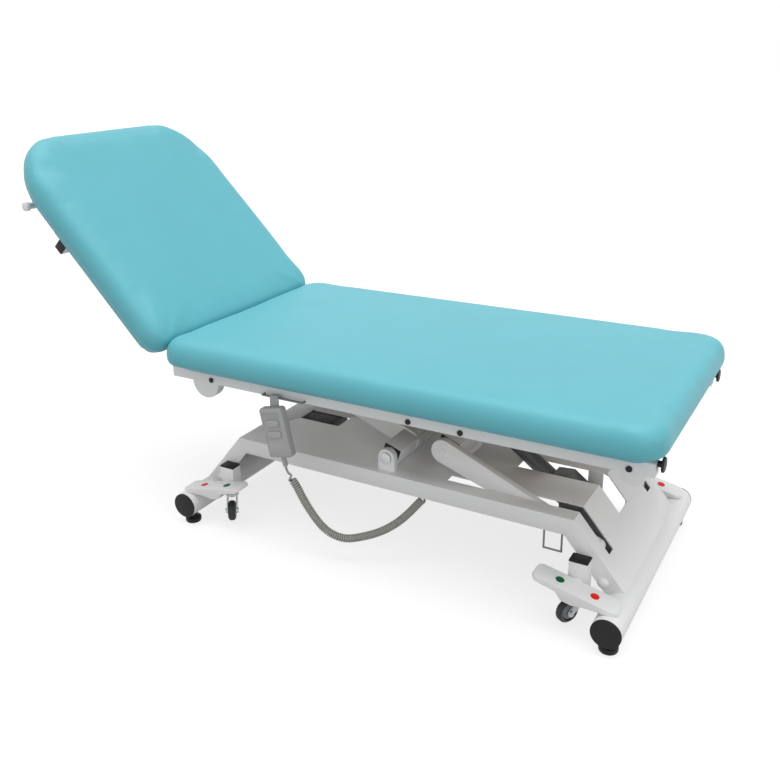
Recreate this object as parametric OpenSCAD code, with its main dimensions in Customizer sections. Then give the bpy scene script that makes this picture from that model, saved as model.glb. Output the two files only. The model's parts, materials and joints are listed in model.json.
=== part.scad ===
// Two-section examination couch on a sheet-metal base with a parallelogram lift.
// The head end lies toward -X and the foot end toward +X. The floor is at zero.

/* [Upholstery] */
// Length of the seat cushion
seat_l = 1108; // [900:1:1300]
// Width of both cushions
couch_w = 612; // [560:1:700]
// Thickness of a cushion at its edge
cushion_t = 60; // [45:1:80]
// Rise of the crown in the middle of a cushion
crown_h = 4; // [1:0.5:8]
// Radius of the top edge of a cushion
cushion_edge_r = 20; // [10:1:25]
// How far the sides draw in toward the board
cushion_draw = 9; // [2:1:14]
// Corner radius of the seat cushion at the foot end
seat_foot_r = 66; // [40:1:120]
// Corner radius of the seat cushion at the head end
seat_head_r = 40; // [30:1:80]
// Length of the back cushion from its lower end to its top
back_l = 613; // [500:1:750]
// Corner radius of the back cushion at its lower end
back_low_r = 40; // [30:1:60]
// Length of the rounded shoulder of the back cushion, along the back
shoulder_l = 182; // [100:1:240]
// Width of the rounded shoulder, across the back
shoulder_w = 136; // [80:1:200]
// Thickness of the boards under the cushions
board_t = 12; // [8:1:18]
// How far the back board stays in from the edge of its cushion
board_inset = 14; // [8:1:30]
// How far the seat board stays in from the edge of its cushion
seat_board_inset = 35; // [30:1:40]

/* [Base] */
// Distance between the axes of the two foot tubes
tube_span = 1026.6; // [900:1:1150]
// Outer diameter of a foot tube
tube_d = 60; // [50:1:70]
// Wall of a foot tube
tube_wall = 3; // [2:0.5:5]
// Length of a foot tube over its end caps
tube_l = 600; // [520:1:700]
// Thickness of the flange of an end cap
tube_cap_t = 4; // [2:0.5:8]
// Height of the top of the base sheet
base_h = 213.7; // [180:1:260]
// Half length of the flat top between the folds
fold_x = 410.8; // [360:1:460]
// Width of the base sheet
base_w = 398; // [340:1:440]
// Slope of the end sections below the level
slope_a = 50.2; // [40:0.5:60]
// Length of a sloping end section
slope_l = 174.5; // [150:0.5:200]
// Thickness of the base sheet
sheet_t = 3; // [2:0.5:4]
// Depth of the side skirt
skirt_h = 37; // [25:1:60]
// Distance from the middle to the near edge of an arm slot
slot_y0 = 135; // [120:1:140]
// Width of an arm slot
slot_w = 26; // [24:1:30]
// Head end of an arm slot
slot_x0 = 120; // [60:1:160]
// Foot end of an arm slot
slot_x1 = 475; // [460:1:480]
// Half width of the middle slot
mid_slot_y = 30; // [28:1:40]
// Head end of the middle slot
mid_slot_x0 = 228; // [200:1:235]
// Foot end of the middle slot
mid_slot_x1 = 456; // [450:1:470]
// Length of the opening at the head end
head_slot_l = 113; // [60:1:140]
// Place of the opening at the head end
head_slot_x = -294.5; // [-320:1:-270]

/* [Lift] */
// Place of the lower pivot of the drive arms, along the couch
drive_x = 448; // [440:1:452]
// Height of the lower pivot of the drive arms
drive_z = 142; // [138:1:146]
// Place of the lower pivot of the idler arms, along the couch
idler_x = -16; // [-40:1:20]
// Height of the lower pivot of the idler arms
idler_z = 244; // [242:1:250]
// Length of an arm between its pivots
arm_l = 365.1; // [350:1:375]
// Angle of the arms above the level when the couch is down
arm_a = 21.36; // [20:0.1:23]
// Thickness of an arm
arm_t = 16; // [10:1:17]
// Radius of the upper end of a drive arm
drive_upper_r = 27; // [24:1:32]
// Radius of the lower end of a drive arm
drive_lower_r = 14; // [13:1:15]
// Distance from the middle to an idler arm
idler_arm_y = 62; // [58:1:70]
// Radius of the lower end of an idler arm
idler_lower_r = 25; // [22:1:27]
// Radius of the upper end of an idler arm
idler_upper_r = 17; // [14:1:18]
// Side of the square idler beam
idler_beam_w = 40; // [36:1:42]
// Side of the square drive beam
drive_beam_w = 46; // [40:1:48]
// Wall of the square beams
beam_wall = 4; // [3:0.5:6]
// Diameter of a pivot pin
pivot_d = 14; // [12:1:16]
// Diameter of the collar that a hanger goes round
collar_d = 70; // [66:1:72]
// Width of a collar
collar_w = 24; // [18:1:26]
// Thickness of a hanger
hanger_t = 16; // [10:1:18]
// Outer radius of the ring of a hanger
hanger_r = 46; // [42:1:50]

/* [Actuator] */
// Diameter of the push rod
push_rod_d = 18; // [14:1:22]
// Diameter of the outer tube
push_tube_d = 36; // [30:1:40]
// Length of the push rod
push_rod_l = 250; // [240:1:270]
// Length of the motor housing
motor_l = 95; // [80:1:100]
// Height of the motor housing above the axis of the rod
motor_h = 42; // [36:1:44]
// Width of the motor housing
motor_w = 48; // [40:1:50]

/* [Top frame] */
// Height of the lower face of the rails
rail_z = 370; // [366:1:374]
// Height of a rail
rail_h = 28; // [24:1:32]
// Width of a rail
rail_w = 25; // [20:1:30]
// Distance between the middles of the side rails
rail_span = 500; // [460:1:520]
// Head end of the side rails
rail_x0 = -544; // [-550:1:-530]
// Foot end of the side rails
rail_x1 = 570; // [560:1:580]
// Diameter of the disc of a rail buffer
buffer_d = 29; // [20:1:30]
// Diameter of the hinge rod
hinge_rod_d = 16; // [12:1:18]
// Place of the hinge axis, along the couch
hinge_x = -540; // [-545:1:-535]
// Half of the gap between the cushions when the couch is flat
hinge_gap = 15; // [14:1:20]
// Angle of the backrest above the level as it stands
back_rest_a = 45.5; // [0:0.5:75]

/* [Gas spring] */
// Diameter of the gas cylinder
gas_d = 22; // [18:1:24]
// Diameter of the gas spring's rod
gas_rod_d = 10; // [8:1:12]
// Length of the gas cylinder
gas_l = 180; // [170:1:190]
// Length of the gas spring's rod
gas_rod_l = 260; // [250:1:270]
// Distance from the hinge axis to the pin of the lever
lever_r = 66; // [64:1:68]

/* [Brakes and casters] */
// Size of a caster post along the couch
post_l = 38; // [34:1:44]
// Size of a caster post across the couch
post_w = 29; // [26:1:32]
// Height of the lower end of a post
post_z0 = 74; // [73:1:76]
// Height of the upper end of a post, cap included
post_z1 = 145.4; // [140:1:150]
// Place of the middle of a post, along the couch
post_x = 433.35; // [425:1:440]
// Diameter of a caster wheel
wheel_d = 48; // [44:1:50]
// Width of a caster wheel
wheel_w = 17; // [14:1:19]
// Height of the axle of a caster wheel when it is up
wheel_z = 34; // [33:1:36]
// Trail of a caster
trail = 25.9; // [22:0.1:28]
// Direction of the trail from the foot end, seen from above
trail_a = 123.8; // [90:1:150]
// Reach of a pedal inward from its axle
pedal_in = 80; // [70:1:90]
// Reach of a pedal outward from its axle
pedal_out = 96; // [80:1:96]
// Width of a pedal
pedal_w = 50; // [40:1:56]
// Tilt of a pedal with its outer end down
pedal_tilt = 12.4; // [8:0.1:14]
// Diameter of a levelling foot
foot_d = 38; // [30:1:46]
// Distance from the end of a tube to the axis of its levelling foot
foot_inset = 29.8; // [25:1:60]

/* [Handset] */
// Width of the handset
hand_w = 61; // [50:1:66]
// Length of the handset
hand_l = 115; // [100:1:130]
// Thickness of the handset
hand_t = 25; // [20:1:28]
// Lean of the handset on its hook
hand_lean = 12.5; // [0:0.5:15]
// Diameter of the cord
cord_d = 5; // [4:0.5:6]
// Outer diameter of the curls
curl_d = 15; // [13:0.5:18]
// Number of curls
curls = 62; // [20:1:70]

/* [Hidden] */
$fn = 48;

// Colours as photographed
white = "whitesmoke";
black = "#1c1d1f";
zinc = "#a9abad";
teal = "#7cc9d6";
pale_grey = "#cfd2d2";
mid_grey = "#8d9194";
dark_grey = "#54585b";
birch = "#c9a878";
green = "#006040";
red = "#d92a20";

// Clearances
cut_over = 2;
run_fit = 0.06;
seat_gap = 0.3;
open_pivot_gap = 0.5;

// Heights of the stack
board_z = rail_z + rail_h;
cushion_z = board_z + board_t;
hinge_z = cushion_z + cushion_t / 2;
half_couch = couch_w / 2;

// Lift geometry: two equal and parallel arms
arm_dx = arm_l * cos(arm_a);
arm_dz = arm_l * sin(arm_a);
drive_low = [drive_x, drive_z];
drive_top = [drive_x - arm_dx, drive_z + arm_dz];
idler_low = [idler_x, idler_z];
idler_top = [idler_x - arm_dx, idler_z + arm_dz];
drive_arm_y = slot_y0 + 7;
drive_lean = 21;
idler_lean = 20;

// Ends of the cushions
seat_x0 = hinge_x + hinge_gap;
seat_x1 = seat_x0 + seat_l;
back_s0 = hinge_gap;
back_s1 = back_s0 + back_l;

// Middle of the couch as it stands, from the top end of the back to the foot end
back_tip_x = hinge_x - (back_s1 - board_inset) * cos(back_rest_a)
    - (cushion_t / 2 + board_t) * sin(back_rest_a);
centre_x = (back_tip_x + seat_x1) / 2;

// Helpers

// Puts the couch's middle on the vertical axis
module place() { translate([-centre_x, 0, 0]) children(); }

// Extrudes an outline drawn along X and Z, from y0 to y1
module slab(y0, y1) {
    translate([0, y1, 0]) rotate([90, 0, 0]) linear_extrude(height = y1 - y0) children();
}

// Round bar along Y
module bar_y(p, d, y0, y1) {
    translate([p[0], y1, p[1]]) rotate([90, 0, 0]) cylinder(d = d, h = y1 - y0);
}

// Square tube outline
module square_ring(w, wall) {
    difference() {
        square(w, center = true);
        square(w - 2 * wall, center = true);
    }
}

// Box between two corners
module box(a, b) { translate(a) cube(b - a); }

// Rectangle with round corners
module rounded_box(a, b, r) {
    translate([a[0] + r, a[1]]) square([b[0] - a[0] - 2 * r, b[1] - a[1]]);
    translate([a[0], a[1] + r]) square([b[0] - a[0], b[1] - a[1] - 2 * r]);
    for (x = [a[0] + r, b[0] - r], y = [a[1] + r, b[1] - r]) translate([x, y]) circle(r = r);
}

module both_sides() {
    children();
    mirror([0, 1, 0]) children();
}

module both_ends() {
    children();
    mirror([1, 0, 0]) children();
}

// Puts a piece that is modelled at the foot end on +Y in one of the four corners
module corner(sx, sy) { scale([sx, sy, 1]) children(); }

// Outline of a link of radius ra at a and rb at b, with straight sides that just cut the circles
link_side_share = 0.999;
module link(a, b, ra, rb) {
    d = b - a;
    len = norm(d);
    turn = asin((ra - rb) / len);
    lean = atan2(d[1], d[0]);
    side = link_side_share * [sin(turn), cos(turn)];
    translate(a) circle(r = ra);
    translate(b) circle(r = rb);
    translate(a) rotate(lean) polygon([
        ra * side, [len, 0] + rb * side,
        [len + rb * side[0], -rb * side[1]], [ra * side[0], -ra * side[1]]
    ]);
}

// Closed skin over rings of equal length, with a fan on each end
function mean(ring) = [for (k = [0:2]) sum_of(ring, k) / len(ring)];
function sum_of(ring, k, i = 0) = i == len(ring) ? 0 : ring[i][k] + sum_of(ring, k, i + 1);
module skin(rings) {
    n = len(rings[0]);
    m = len(rings);
    points = concat([for (ring = rings) each ring], [mean(rings[0]), mean(rings[m - 1])]);
    sides = [
        for (i = [0:m - 2], j = [0:n - 1])
        let (a = i * n + j, b = i * n + (j + 1) % n)
        each [[a, a + n, b + n], [a, b + n, b]]
    ];
    ends = [
        for (j = [0:n - 1])
        let (k = (j + 1) % n)
        each [[m * n, j, k], [m * n + 1, (m - 1) * n + k, (m - 1) * n + j]]
    ];
    polyhedron(points = points, faces = concat(sides, ends), convexity = 10);
}

// Base

// Folded profile of the base: flat top and two sloping ends, with its lower edge at depth d
module folded_band(d) {
    toe = [fold_x + slope_l * cos(slope_a), base_h - slope_l * sin(slope_a)];
    toe_in = toe - d * [sin(slope_a), cos(slope_a)];
    fold_in = fold_x - d * tan(slope_a / 2);
    polygon([
        [-toe[0], toe[1]], [-fold_x, base_h], [fold_x, base_h], toe,
        toe_in, [fold_in, base_h - d], [-fold_in, base_h - d], [-toe_in[0], toe_in[1]]
    ]);
}

tube_x = tube_span / 2;
foot_stud_d = 12;
foot_pad_t = 14;
foot_neck_d = 20;
tube_z = 22.5 + tube_d / 2;
tube_bottom = tube_z - tube_d / 2;
foot_y = tube_l / 2 - foot_inset;
nut_d = 24;
nut_h = 14;

module tube_space() {
    both_ends() bar_y([tube_x, tube_z], tube_d, -tube_l / 2, tube_l / 2);
}

module base_frame() {
    half = base_w / 2;
    color(white) difference() {
        union() {
            slab(-half, half) folded_band(sheet_t);
            both_sides() slab(half - sheet_t, half) folded_band(skirt_h);
            // Lugs that carry the idler beam
            both_sides() slab(lug_y0, lug_y1) {
                translate(idler_low) circle(d = lug_w);
                translate([idler_x - lug_w / 2, base_h - sheet_t / 2])
                    square([lug_w, idler_z - base_h + sheet_t / 2]);
            }
            // Ears that carry the lower end of the actuator
            both_sides() slab(mid_slot_y, mid_slot_y + ear_t) {
                translate(push_low) circle(r = ear_r);
                translate([push_low[0] - ear_r, push_low[1]])
                    square([2 * ear_r, base_h - sheet_t / 2 - push_low[1]]);
            }
        }
        tube_space();
        both_sides() bar_y(idler_low, pivot_d, lug_y0 - cut_over, lug_y1 + cut_over);
        both_sides() box([slot_x0, slot_y0, 0], [slot_x1, slot_y0 + slot_w, base_h + cut_over]);
        box([mid_slot_x0, -mid_slot_y, 0], [mid_slot_x1, mid_slot_y, base_h + cut_over]);
        box([head_slot_x - head_slot_l / 2, -mid_slot_y, 0],
            [head_slot_x + head_slot_l / 2, mid_slot_y, base_h + cut_over]);
        bar_y(push_low, push_pin_d, -base_w / 2, base_w / 2);
    }
}
lug_y0 = 168;
lug_y1 = 184;
lug_w = 40;
ear_t = 5;
ear_r = 16;

module foot_tubes() {
    color(white) both_ends() difference() {
        union() {
            difference() {
                bar_y([tube_x, tube_z], tube_d, tube_cap_t - tube_l / 2, tube_l / 2 - tube_cap_t);
                bar_y([tube_x, tube_z], tube_d - 2 * tube_wall, -tube_l / 2, tube_l / 2);
            }
            both_sides() intersection() {
                translate([tube_x, foot_y, tube_bottom]) cylinder(d = nut_d, h = nut_h);
                bar_y([tube_x, tube_z], tube_d - tube_wall, -tube_l / 2, tube_l / 2);
            }
        }
        both_sides() translate([tube_x, foot_y, tube_bottom - cut_over])
            cylinder(d = foot_stud_d + 2 * run_fit, h = nut_h + 2 * cut_over);
    }
}

module tube_caps() {
    insert_l = 12;
    inner_d = tube_d - 2 * tube_wall;
    color(black) both_ends() both_sides() {
        bar_y([tube_x, tube_z], tube_d, tube_l / 2 - tube_cap_t, tube_l / 2);
        difference() {
            bar_y([tube_x, tube_z], inner_d, tube_l / 2 - tube_cap_t - insert_l,
                tube_l / 2 - tube_cap_t);
            bar_y([tube_x, tube_z], inner_d - 2 * tube_wall, tube_l / 2 - tube_cap_t - insert_l
                - cut_over, tube_l / 2 - tube_cap_t);
        }
    }
}

module leveller() {
    pad_edge = 3;
    color(black) translate([tube_x, foot_y, 0]) {
        cylinder(d1 = foot_d - pad_edge, d2 = foot_d, h = pad_edge);
        translate([0, 0, pad_edge]) cylinder(d = foot_d, h = foot_pad_t - 2 * pad_edge);
        translate([0, 0, foot_pad_t - pad_edge])
            cylinder(d1 = foot_d, d2 = foot_neck_d, h = pad_edge);
        cylinder(d = foot_neck_d, h = tube_bottom - seat_gap);
        cylinder(d = foot_stud_d, h = tube_bottom + nut_h);
    }
}

// Brakes and casters
post_y0 = base_w / 2;
post_y = post_y0 + post_w / 2;
post_cap_t = 5;
stem_d = 16;
stem_bore_h = 36;
stem_flange_d = 30;
stem_flange_t = 4;
king_d = 10;
king_l = 7;
axle_d = 10;
axle_in = 5.5;
pedal_z = 97;
pedal_top = 12;
pedal_low = 13;
caster_drop = 9.6;
wheel_axle_d = 8;
fork_t = 3;
fork_gap = 1;
fork_top_z = post_z0 - stem_flange_t - 2 * seat_gap;

module caster_posts() {
    color(white) both_ends() both_sides() difference() {
        box([post_x - post_l / 2, post_y0, post_z0],
            [post_x + post_l / 2, post_y0 + post_w, post_z1 - post_cap_t]);
        translate([post_x, post_y, post_z0 - cut_over])
            cylinder(d = stem_d + 2 * run_fit, h = stem_bore_h + cut_over);
        bar_y([post_x, pedal_z], axle_d + 2 * run_fit, post_y0 + post_w - axle_in - seat_gap,
            post_y0 + post_w + cut_over);
    }
}

module post_caps() {
    cap_step = 1;
    color(black) both_ends() both_sides() {
        box([post_x - post_l / 2, post_y0, post_z1 - post_cap_t],
            [post_x + post_l / 2, post_y0 + post_w, post_z1 - cap_step]);
        box([post_x - post_l / 2 + cap_step, post_y0 + cap_step, post_z1 - cap_step],
            [post_x + post_l / 2 - cap_step, post_y0 + post_w - cap_step, post_z1]);
    }
}

// Rocking pedal, modelled level and then tilted with its outer end down
module pedal() {
    hub_d = 24;
    plan_r = 16;
    dot_d = 15;
    dot_t = 0.8;
    dot_in = 27.5;
    dot_out = 43.5;
    y0 = post_y0 + post_w + seat_gap;
    y1 = y0 + 6;
    y2 = y1 + pedal_w;
    translate([post_x, 0, pedal_z]) rotate([0, pedal_tilt, 0]) {
        color(white) {
            // Boat-shaped lever: level on top, deepest under its hub, with round ends in plan
            intersection() {
                slab(y1, y2) polygon([
                    [-pedal_in, pedal_top * 0.6], [-pedal_in * 0.95, pedal_top],
                    [pedal_out * 0.96, pedal_top], [pedal_out, pedal_top * 0.6],
                    [pedal_out * 0.76, pedal_top * 0.15], [pedal_out * 0.36, -pedal_low * 0.4],
                    [pedal_out * 0.1, -pedal_low], [-pedal_in * 0.15, -pedal_low],
                    [-pedal_in * 0.33, 0], [-pedal_in * 0.9, pedal_top * 0.2]
                ]);
                translate([0, 0, -pedal_low]) linear_extrude(height = pedal_low + pedal_top)
                    rounded_box([-pedal_in, y1], [pedal_out, y2], plan_r);
            }
            bar_y([0, 0], hub_d, y0, y2);
            bar_y([0, 0], axle_d, y0 - axle_in, y1);
        }
        for (dot = [[green, -dot_in], [red, dot_out]]) color(dot[0])
            translate([dot[1], (y1 + y2) / 2, pedal_top - dot_t]) cylinder(d = dot_d, h = 2 * dot_t);
    }
}

// Stem that slides down in its post and carries the swivel
module stem() {
    color(zinc) translate([post_x, post_y, 0]) {
        translate([0, 0, post_z0 - cut_over]) cylinder(d = stem_d, h = stem_bore_h + cut_over - seat_gap);
        translate([0, 0, post_z0 - seat_gap - stem_flange_t])
            cylinder(d = stem_flange_d, h = stem_flange_t);
        translate([0, 0, fork_top_z - king_l]) cylinder(d = king_d, h = king_l + cut_over);
    }
}

// Fork in its own frame: the swivel axis is vertical and the trail runs along +X
module fork() {
    crown_d = 32;
    crown_t = 5;
    leg_w = 22;
    inner = wheel_w / 2 + fork_gap;
    color(zinc) translate([post_x, post_y, 0]) rotate(trail_a) {
        difference() {
            union() {
                translate([0, 0, fork_top_z - crown_t]) cylinder(d = crown_d, h = crown_t);
                both_sides() slab(inner, inner + fork_t) {
                    link([0, fork_top_z - leg_w / 2], [trail, wheel_z], leg_w / 2, leg_w / 3);
                    translate([-leg_w / 2, fork_top_z - leg_w / 2]) square([leg_w, leg_w / 2]);
                }
                bar_y([trail, wheel_z], wheel_axle_d, -inner - fork_t, inner + fork_t);
                both_sides() bar_y([trail, wheel_z], wheel_axle_d * 1.6, inner + fork_t,
                    inner + 2 * fork_t);
            }
            translate([0, 0, fork_top_z - king_l - cut_over])
                cylinder(d = king_d + 2 * run_fit, h = king_l + 2 * cut_over);
        }
    }
}

// Wheel in the same frame as its fork
module wheel() {
    hub_d = 30;
    dish = 2.5;
    tread_r = 4;
    w = wheel_w / 2;
    r = wheel_d / 2;
    color(black) translate([post_x, post_y, 0]) rotate(trail_a) translate([trail, 0, wheel_z])
        rotate([90, 0, 0]) rotate_extrude() polygon([
            [wheel_axle_d / 2 + run_fit, -w], [hub_d / 2 - dish, -w], [hub_d / 2, dish - w],
            [hub_d / 2 + dish, -w], [r - tread_r, -w], [r, tread_r - w], [r, w - tread_r],
            [r - tread_r, w], [hub_d / 2 + dish, w], [hub_d / 2, w - dish], [hub_d / 2 - dish, w],
            [wheel_axle_d / 2 + run_fit, w]
        ]);
}

// White plugs on the skirt beside each post
module skirt_domes() {
    dome_x = 476;
    dome_z = 93;
    dome_d = 25;
    dome_t = 6;
    color(white) both_ends() both_sides() translate([dome_x, base_w / 2, dome_z])
        rotate([-90, 0, 0]) rotate_extrude() intersection() {
            translate([0, dome_t - dome_d / 2 * 1.2]) circle(r = dome_d / 2 * 1.2);
            square([dome_d / 2, dome_t]);
        }
}

// Brackets that carry the lower pivots of the drive arms, under the arm slots
bracket_t = 4;
bracket_depth = 46;
bracket_x0 = 359;
module arm_brackets() {
    bolt_d = 10;
    bolt_h = 3;
    bolt_shares = [[0.16, 0.14], [0.44, 0.26]];
    color(dark_grey) both_sides() difference() {
        union() {
            for (y = [slot_y0 - bracket_t, slot_y0 + slot_w]) slab(y, y + bracket_t)
                intersection() {
                    difference() {
                        folded_band(bracket_depth);
                        folded_band(sheet_t);
                    }
                    translate([bracket_x0, 0]) square([slot_x1 - bracket_x0, base_h]);
                }
            for (share = bolt_shares)
                bar_y([bracket_x0 + share[0] * (slot_x1 - bracket_x0), base_h - share[1] * bracket_depth],
                    bolt_d, slot_y0, slot_y0 + bolt_h);
        }
        tube_space();
        bar_y(drive_low, pivot_d, 0, base_w / 2);
    }
}

module base_pins() {
    head_t = 4;
    head_d = 26;
    color(zinc) both_sides() {
        bar_y(idler_low, pivot_d, idler_beam_y - beam_block, lug_y1);
        bar_y(idler_low, head_d, lug_y1, lug_y1 + head_t);
        bar_y(drive_low, pivot_d, slot_y0 - bracket_t, slot_y0 + slot_w + bracket_t);
        bar_y(drive_low, head_d * 0.8, slot_y0 - bracket_t - head_t, slot_y0 - bracket_t);
        bar_y(drive_low, head_d * 0.8, slot_y0 + slot_w + bracket_t,
            slot_y0 + slot_w + bracket_t + head_t);
        bar_y(push_low, push_pin_d, 0, mid_slot_y + ear_t);
        bar_y(push_low, push_pin_d * 1.6, mid_slot_y + ear_t, mid_slot_y + ear_t + head_t);
    }
}

module control_box() {
    box_h = 44;
    box_l = 108;
    box_w = 110;
    rib = 3;
    box_over = 20;
    x0 = head_slot_x - head_slot_l / 2 - box_over;
    z1 = base_h - sheet_t;
    color(dark_grey) {
        box([x0, -box_w / 2, z1 - box_h], [x0 + box_l, box_w / 2, z1]);
        for (i = [1:4]) box([x0 + i * box_l / 5, -box_w / 2 - rib, z1 - box_h],
            [x0 + i * box_l / 5 + rib, box_w / 2 + rib, z1]);
    }
}

module wire_hook() {
    wire_d = 4;
    x0 = 351;
    x1 = 388;
    z0 = 135;
    y = base_w / 2 - sheet_t - wire_d / 2;
    top = base_h - skirt_h + wire_d;
    color(zinc) mirror([0, 1, 0]) {
        for (x = [x0, x1]) translate([x, y, z0]) cylinder(d = wire_d, h = top - z0);
        translate([x0, y, z0]) rotate([0, 90, 0]) cylinder(d = wire_d, h = x1 - x0);
        for (x = [x0, x1]) translate([x, y, z0]) sphere(d = wire_d);
    }
}

// Lift

beam_block = 20;
idler_beam_y = 162;
drive_beam_y = 134;
cap_t = 3;
block_bore_gap = 1;

module tilted(p, lean) {
    translate([p[0], 0, p[1]]) rotate([0, lean, 0]) children();
}

module idler_arms() {
    color(white) difference() {
        union() {
            tilted(idler_low, idler_lean) both_sides() {
                slab(0, idler_beam_y) square_ring(idler_beam_w, beam_wall);
                slab(idler_beam_y - beam_block, idler_beam_y) square(idler_beam_w, center = true);
            }
            both_sides() slab(idler_arm_y, idler_arm_y + arm_t)
                link(idler_low, idler_top, idler_lower_r, idler_upper_r);
        }
        both_sides() bar_y(idler_low, pivot_d + 2 * run_fit, idler_beam_y - beam_block - cut_over,
            idler_beam_y + cut_over);
        bar_y(idler_top, pivot_d + 2 * run_fit, -base_w / 2, base_w / 2);
    }
}

module idler_caps() {
    color(black) both_sides() difference() {
        tilted(idler_low, idler_lean) slab(idler_beam_y, idler_beam_y + cap_t)
            square(idler_beam_w, center = true);
        bar_y(idler_low, pivot_d + 2 * block_bore_gap, 0, base_w / 2);
    }
}

module drive_arms() {
    stub_d = 32;
    color(white) both_sides() difference() {
        union() {
            slab(drive_arm_y, drive_arm_y + arm_t)
                link(drive_top, drive_low, drive_upper_r, drive_lower_r);
            bar_y(drive_top, stub_d, drive_beam_y, drive_arm_y);
            bar_y(drive_top, pivot_d, drive_arm_y + arm_t, drive_arm_y + arm_t + cap_t);
        }
        bar_y(drive_low, pivot_d + 2 * run_fit, 0, base_w / 2);
    }
}

module drive_beam() {
    color(white) union() {
        tilted(drive_top, drive_lean) both_sides() {
            slab(0, drive_beam_y - beam_block) square_ring(drive_beam_w, beam_wall);
            slab(drive_beam_y - beam_block, drive_beam_y) square(drive_beam_w, center = true);
        }
        both_sides() difference() {
            bar_y(drive_top, collar_d, hanger_y - (collar_w - hanger_t) / 2,
                hanger_y + hanger_t + (collar_w - hanger_t) / 2);
            tilted(drive_top, drive_lean) slab(0, drive_beam_y)
                square(drive_beam_w - 2 * beam_wall, center = true);
        }
    }
}

module drive_caps() {
    color(black) both_sides() difference() {
        tilted(drive_top, drive_lean) slab(drive_beam_y, drive_beam_y + cap_t)
            square(drive_beam_w, center = true);
        bar_y(drive_top, 32, 0, base_w / 2);
    }
}

// Actuator between the crank ears of the drive beam and the base
push_top = drive_top + [-8, 65];
push_low = [385, 125];
push_pin_d = 12;
push_dir = (push_low - push_top) / norm(push_low - push_top);
push_l = norm(push_low - push_top);
push_a = atan2(-push_dir[1], push_dir[0]);
crank_y = 12;
crank_t = 8;
push_eye_r = 14;
push_miss = 9;

module crank_ears() {
    color(white) {
        both_sides() difference() {
            slab(crank_y, crank_y + crank_t)
                link(drive_top, push_top, drive_beam_w / 2 - beam_wall, push_eye_r);
            tilted(drive_top, drive_lean) slab(0, base_w / 2) square(drive_beam_w, center = true);
        }
        bar_y(push_top, pivot_d, -crank_y - crank_t, crank_y + crank_t);
    }
}

// Draws along the actuator from the upper pin: X runs down the rod
module along_push() {
    translate([push_top[0], 0, push_top[1]]) rotate([0, push_a, 0]) children();
}

module bar_x(d, x0, x1) { translate([x0, 0, 0]) rotate([0, 90, 0]) cylinder(d = d, h = x1 - x0); }

module actuator_rod() {
    eye_y = crank_y - open_pivot_gap * 2;
    color(zinc) along_push() difference() {
        union() {
            bar_y([0, 0], 2 * push_eye_r, -eye_y, eye_y);
            bar_x(push_rod_d, 0, push_rod_l);
        }
        bar_y([0, 0], pivot_d + 2 * run_fit, -crank_y, crank_y);
    }
}

module actuator_body() {
    tube_s0 = 82;
    eye_r = push_pin_d / 2 + push_miss + 6;
    eye_y = 12;
    collar_l = 14;
    motor_s1 = push_l - 18;
    color(dark_grey) along_push() difference() {
        union() {
            bar_x(push_tube_d, tube_s0, push_l - eye_r / 2);
            bar_x(push_tube_d + 6, tube_s0, tube_s0 + collar_l);
            // Motor housing with a wedge toward the rod
            slab(-motor_w / 2, motor_w / 2) polygon([
                [motor_s1 - motor_l, push_rod_d], [motor_s1 - motor_l * 0.72, motor_h],
                [motor_s1, motor_h], [motor_s1, -push_tube_d / 2 - 4],
                [motor_s1 - motor_l * 0.6, -push_tube_d / 2 - 4], [motor_s1 - motor_l, -push_rod_d]
            ]);
            bar_y([push_l, 0], 2 * eye_r, -eye_y, eye_y);
        }
        bar_x(push_rod_d + 2 * run_fit, tube_s0 - cut_over, push_rod_l + cut_over);
        bar_y([push_l, 0], push_pin_d + 2 * push_miss, -mid_slot_y, mid_slot_y);
    }
}

// Top frame

rail_y = rail_span / 2;
inner_y0 = 84;
inner_w = 22;
inner_over = 14;
inner_x1 = drive_top[0] + inner_over;
clevis_t = 4;
clevis_gap = 2;
clevis_r = 16;
stub_back = 50;
stub_x0 = idler_top[0] - stub_back;
stub_l = 28;
hanger_y = 42;
gas_reach = 370;
gas_low = [hinge_x + gas_reach, 358];
gas_bracket_in = 20;
gas_bracket_x = gas_low[0] + gas_bracket_in;
head_cross_in = 17;
head_cross_x = hinge_x + head_cross_in;

module rail_box(x0, x1, y0, y1) { box([x0, y0, rail_z], [x1, y1, rail_z + rail_h]); }

module half_round(x, r) {
    slab(rail_y - rail_w / 2, rail_y + rail_w / 2) translate([x, rail_z]) intersection() {
        circle(r = r);
        translate([-r, -r]) square([2 * r, r]);
    }
}

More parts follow.
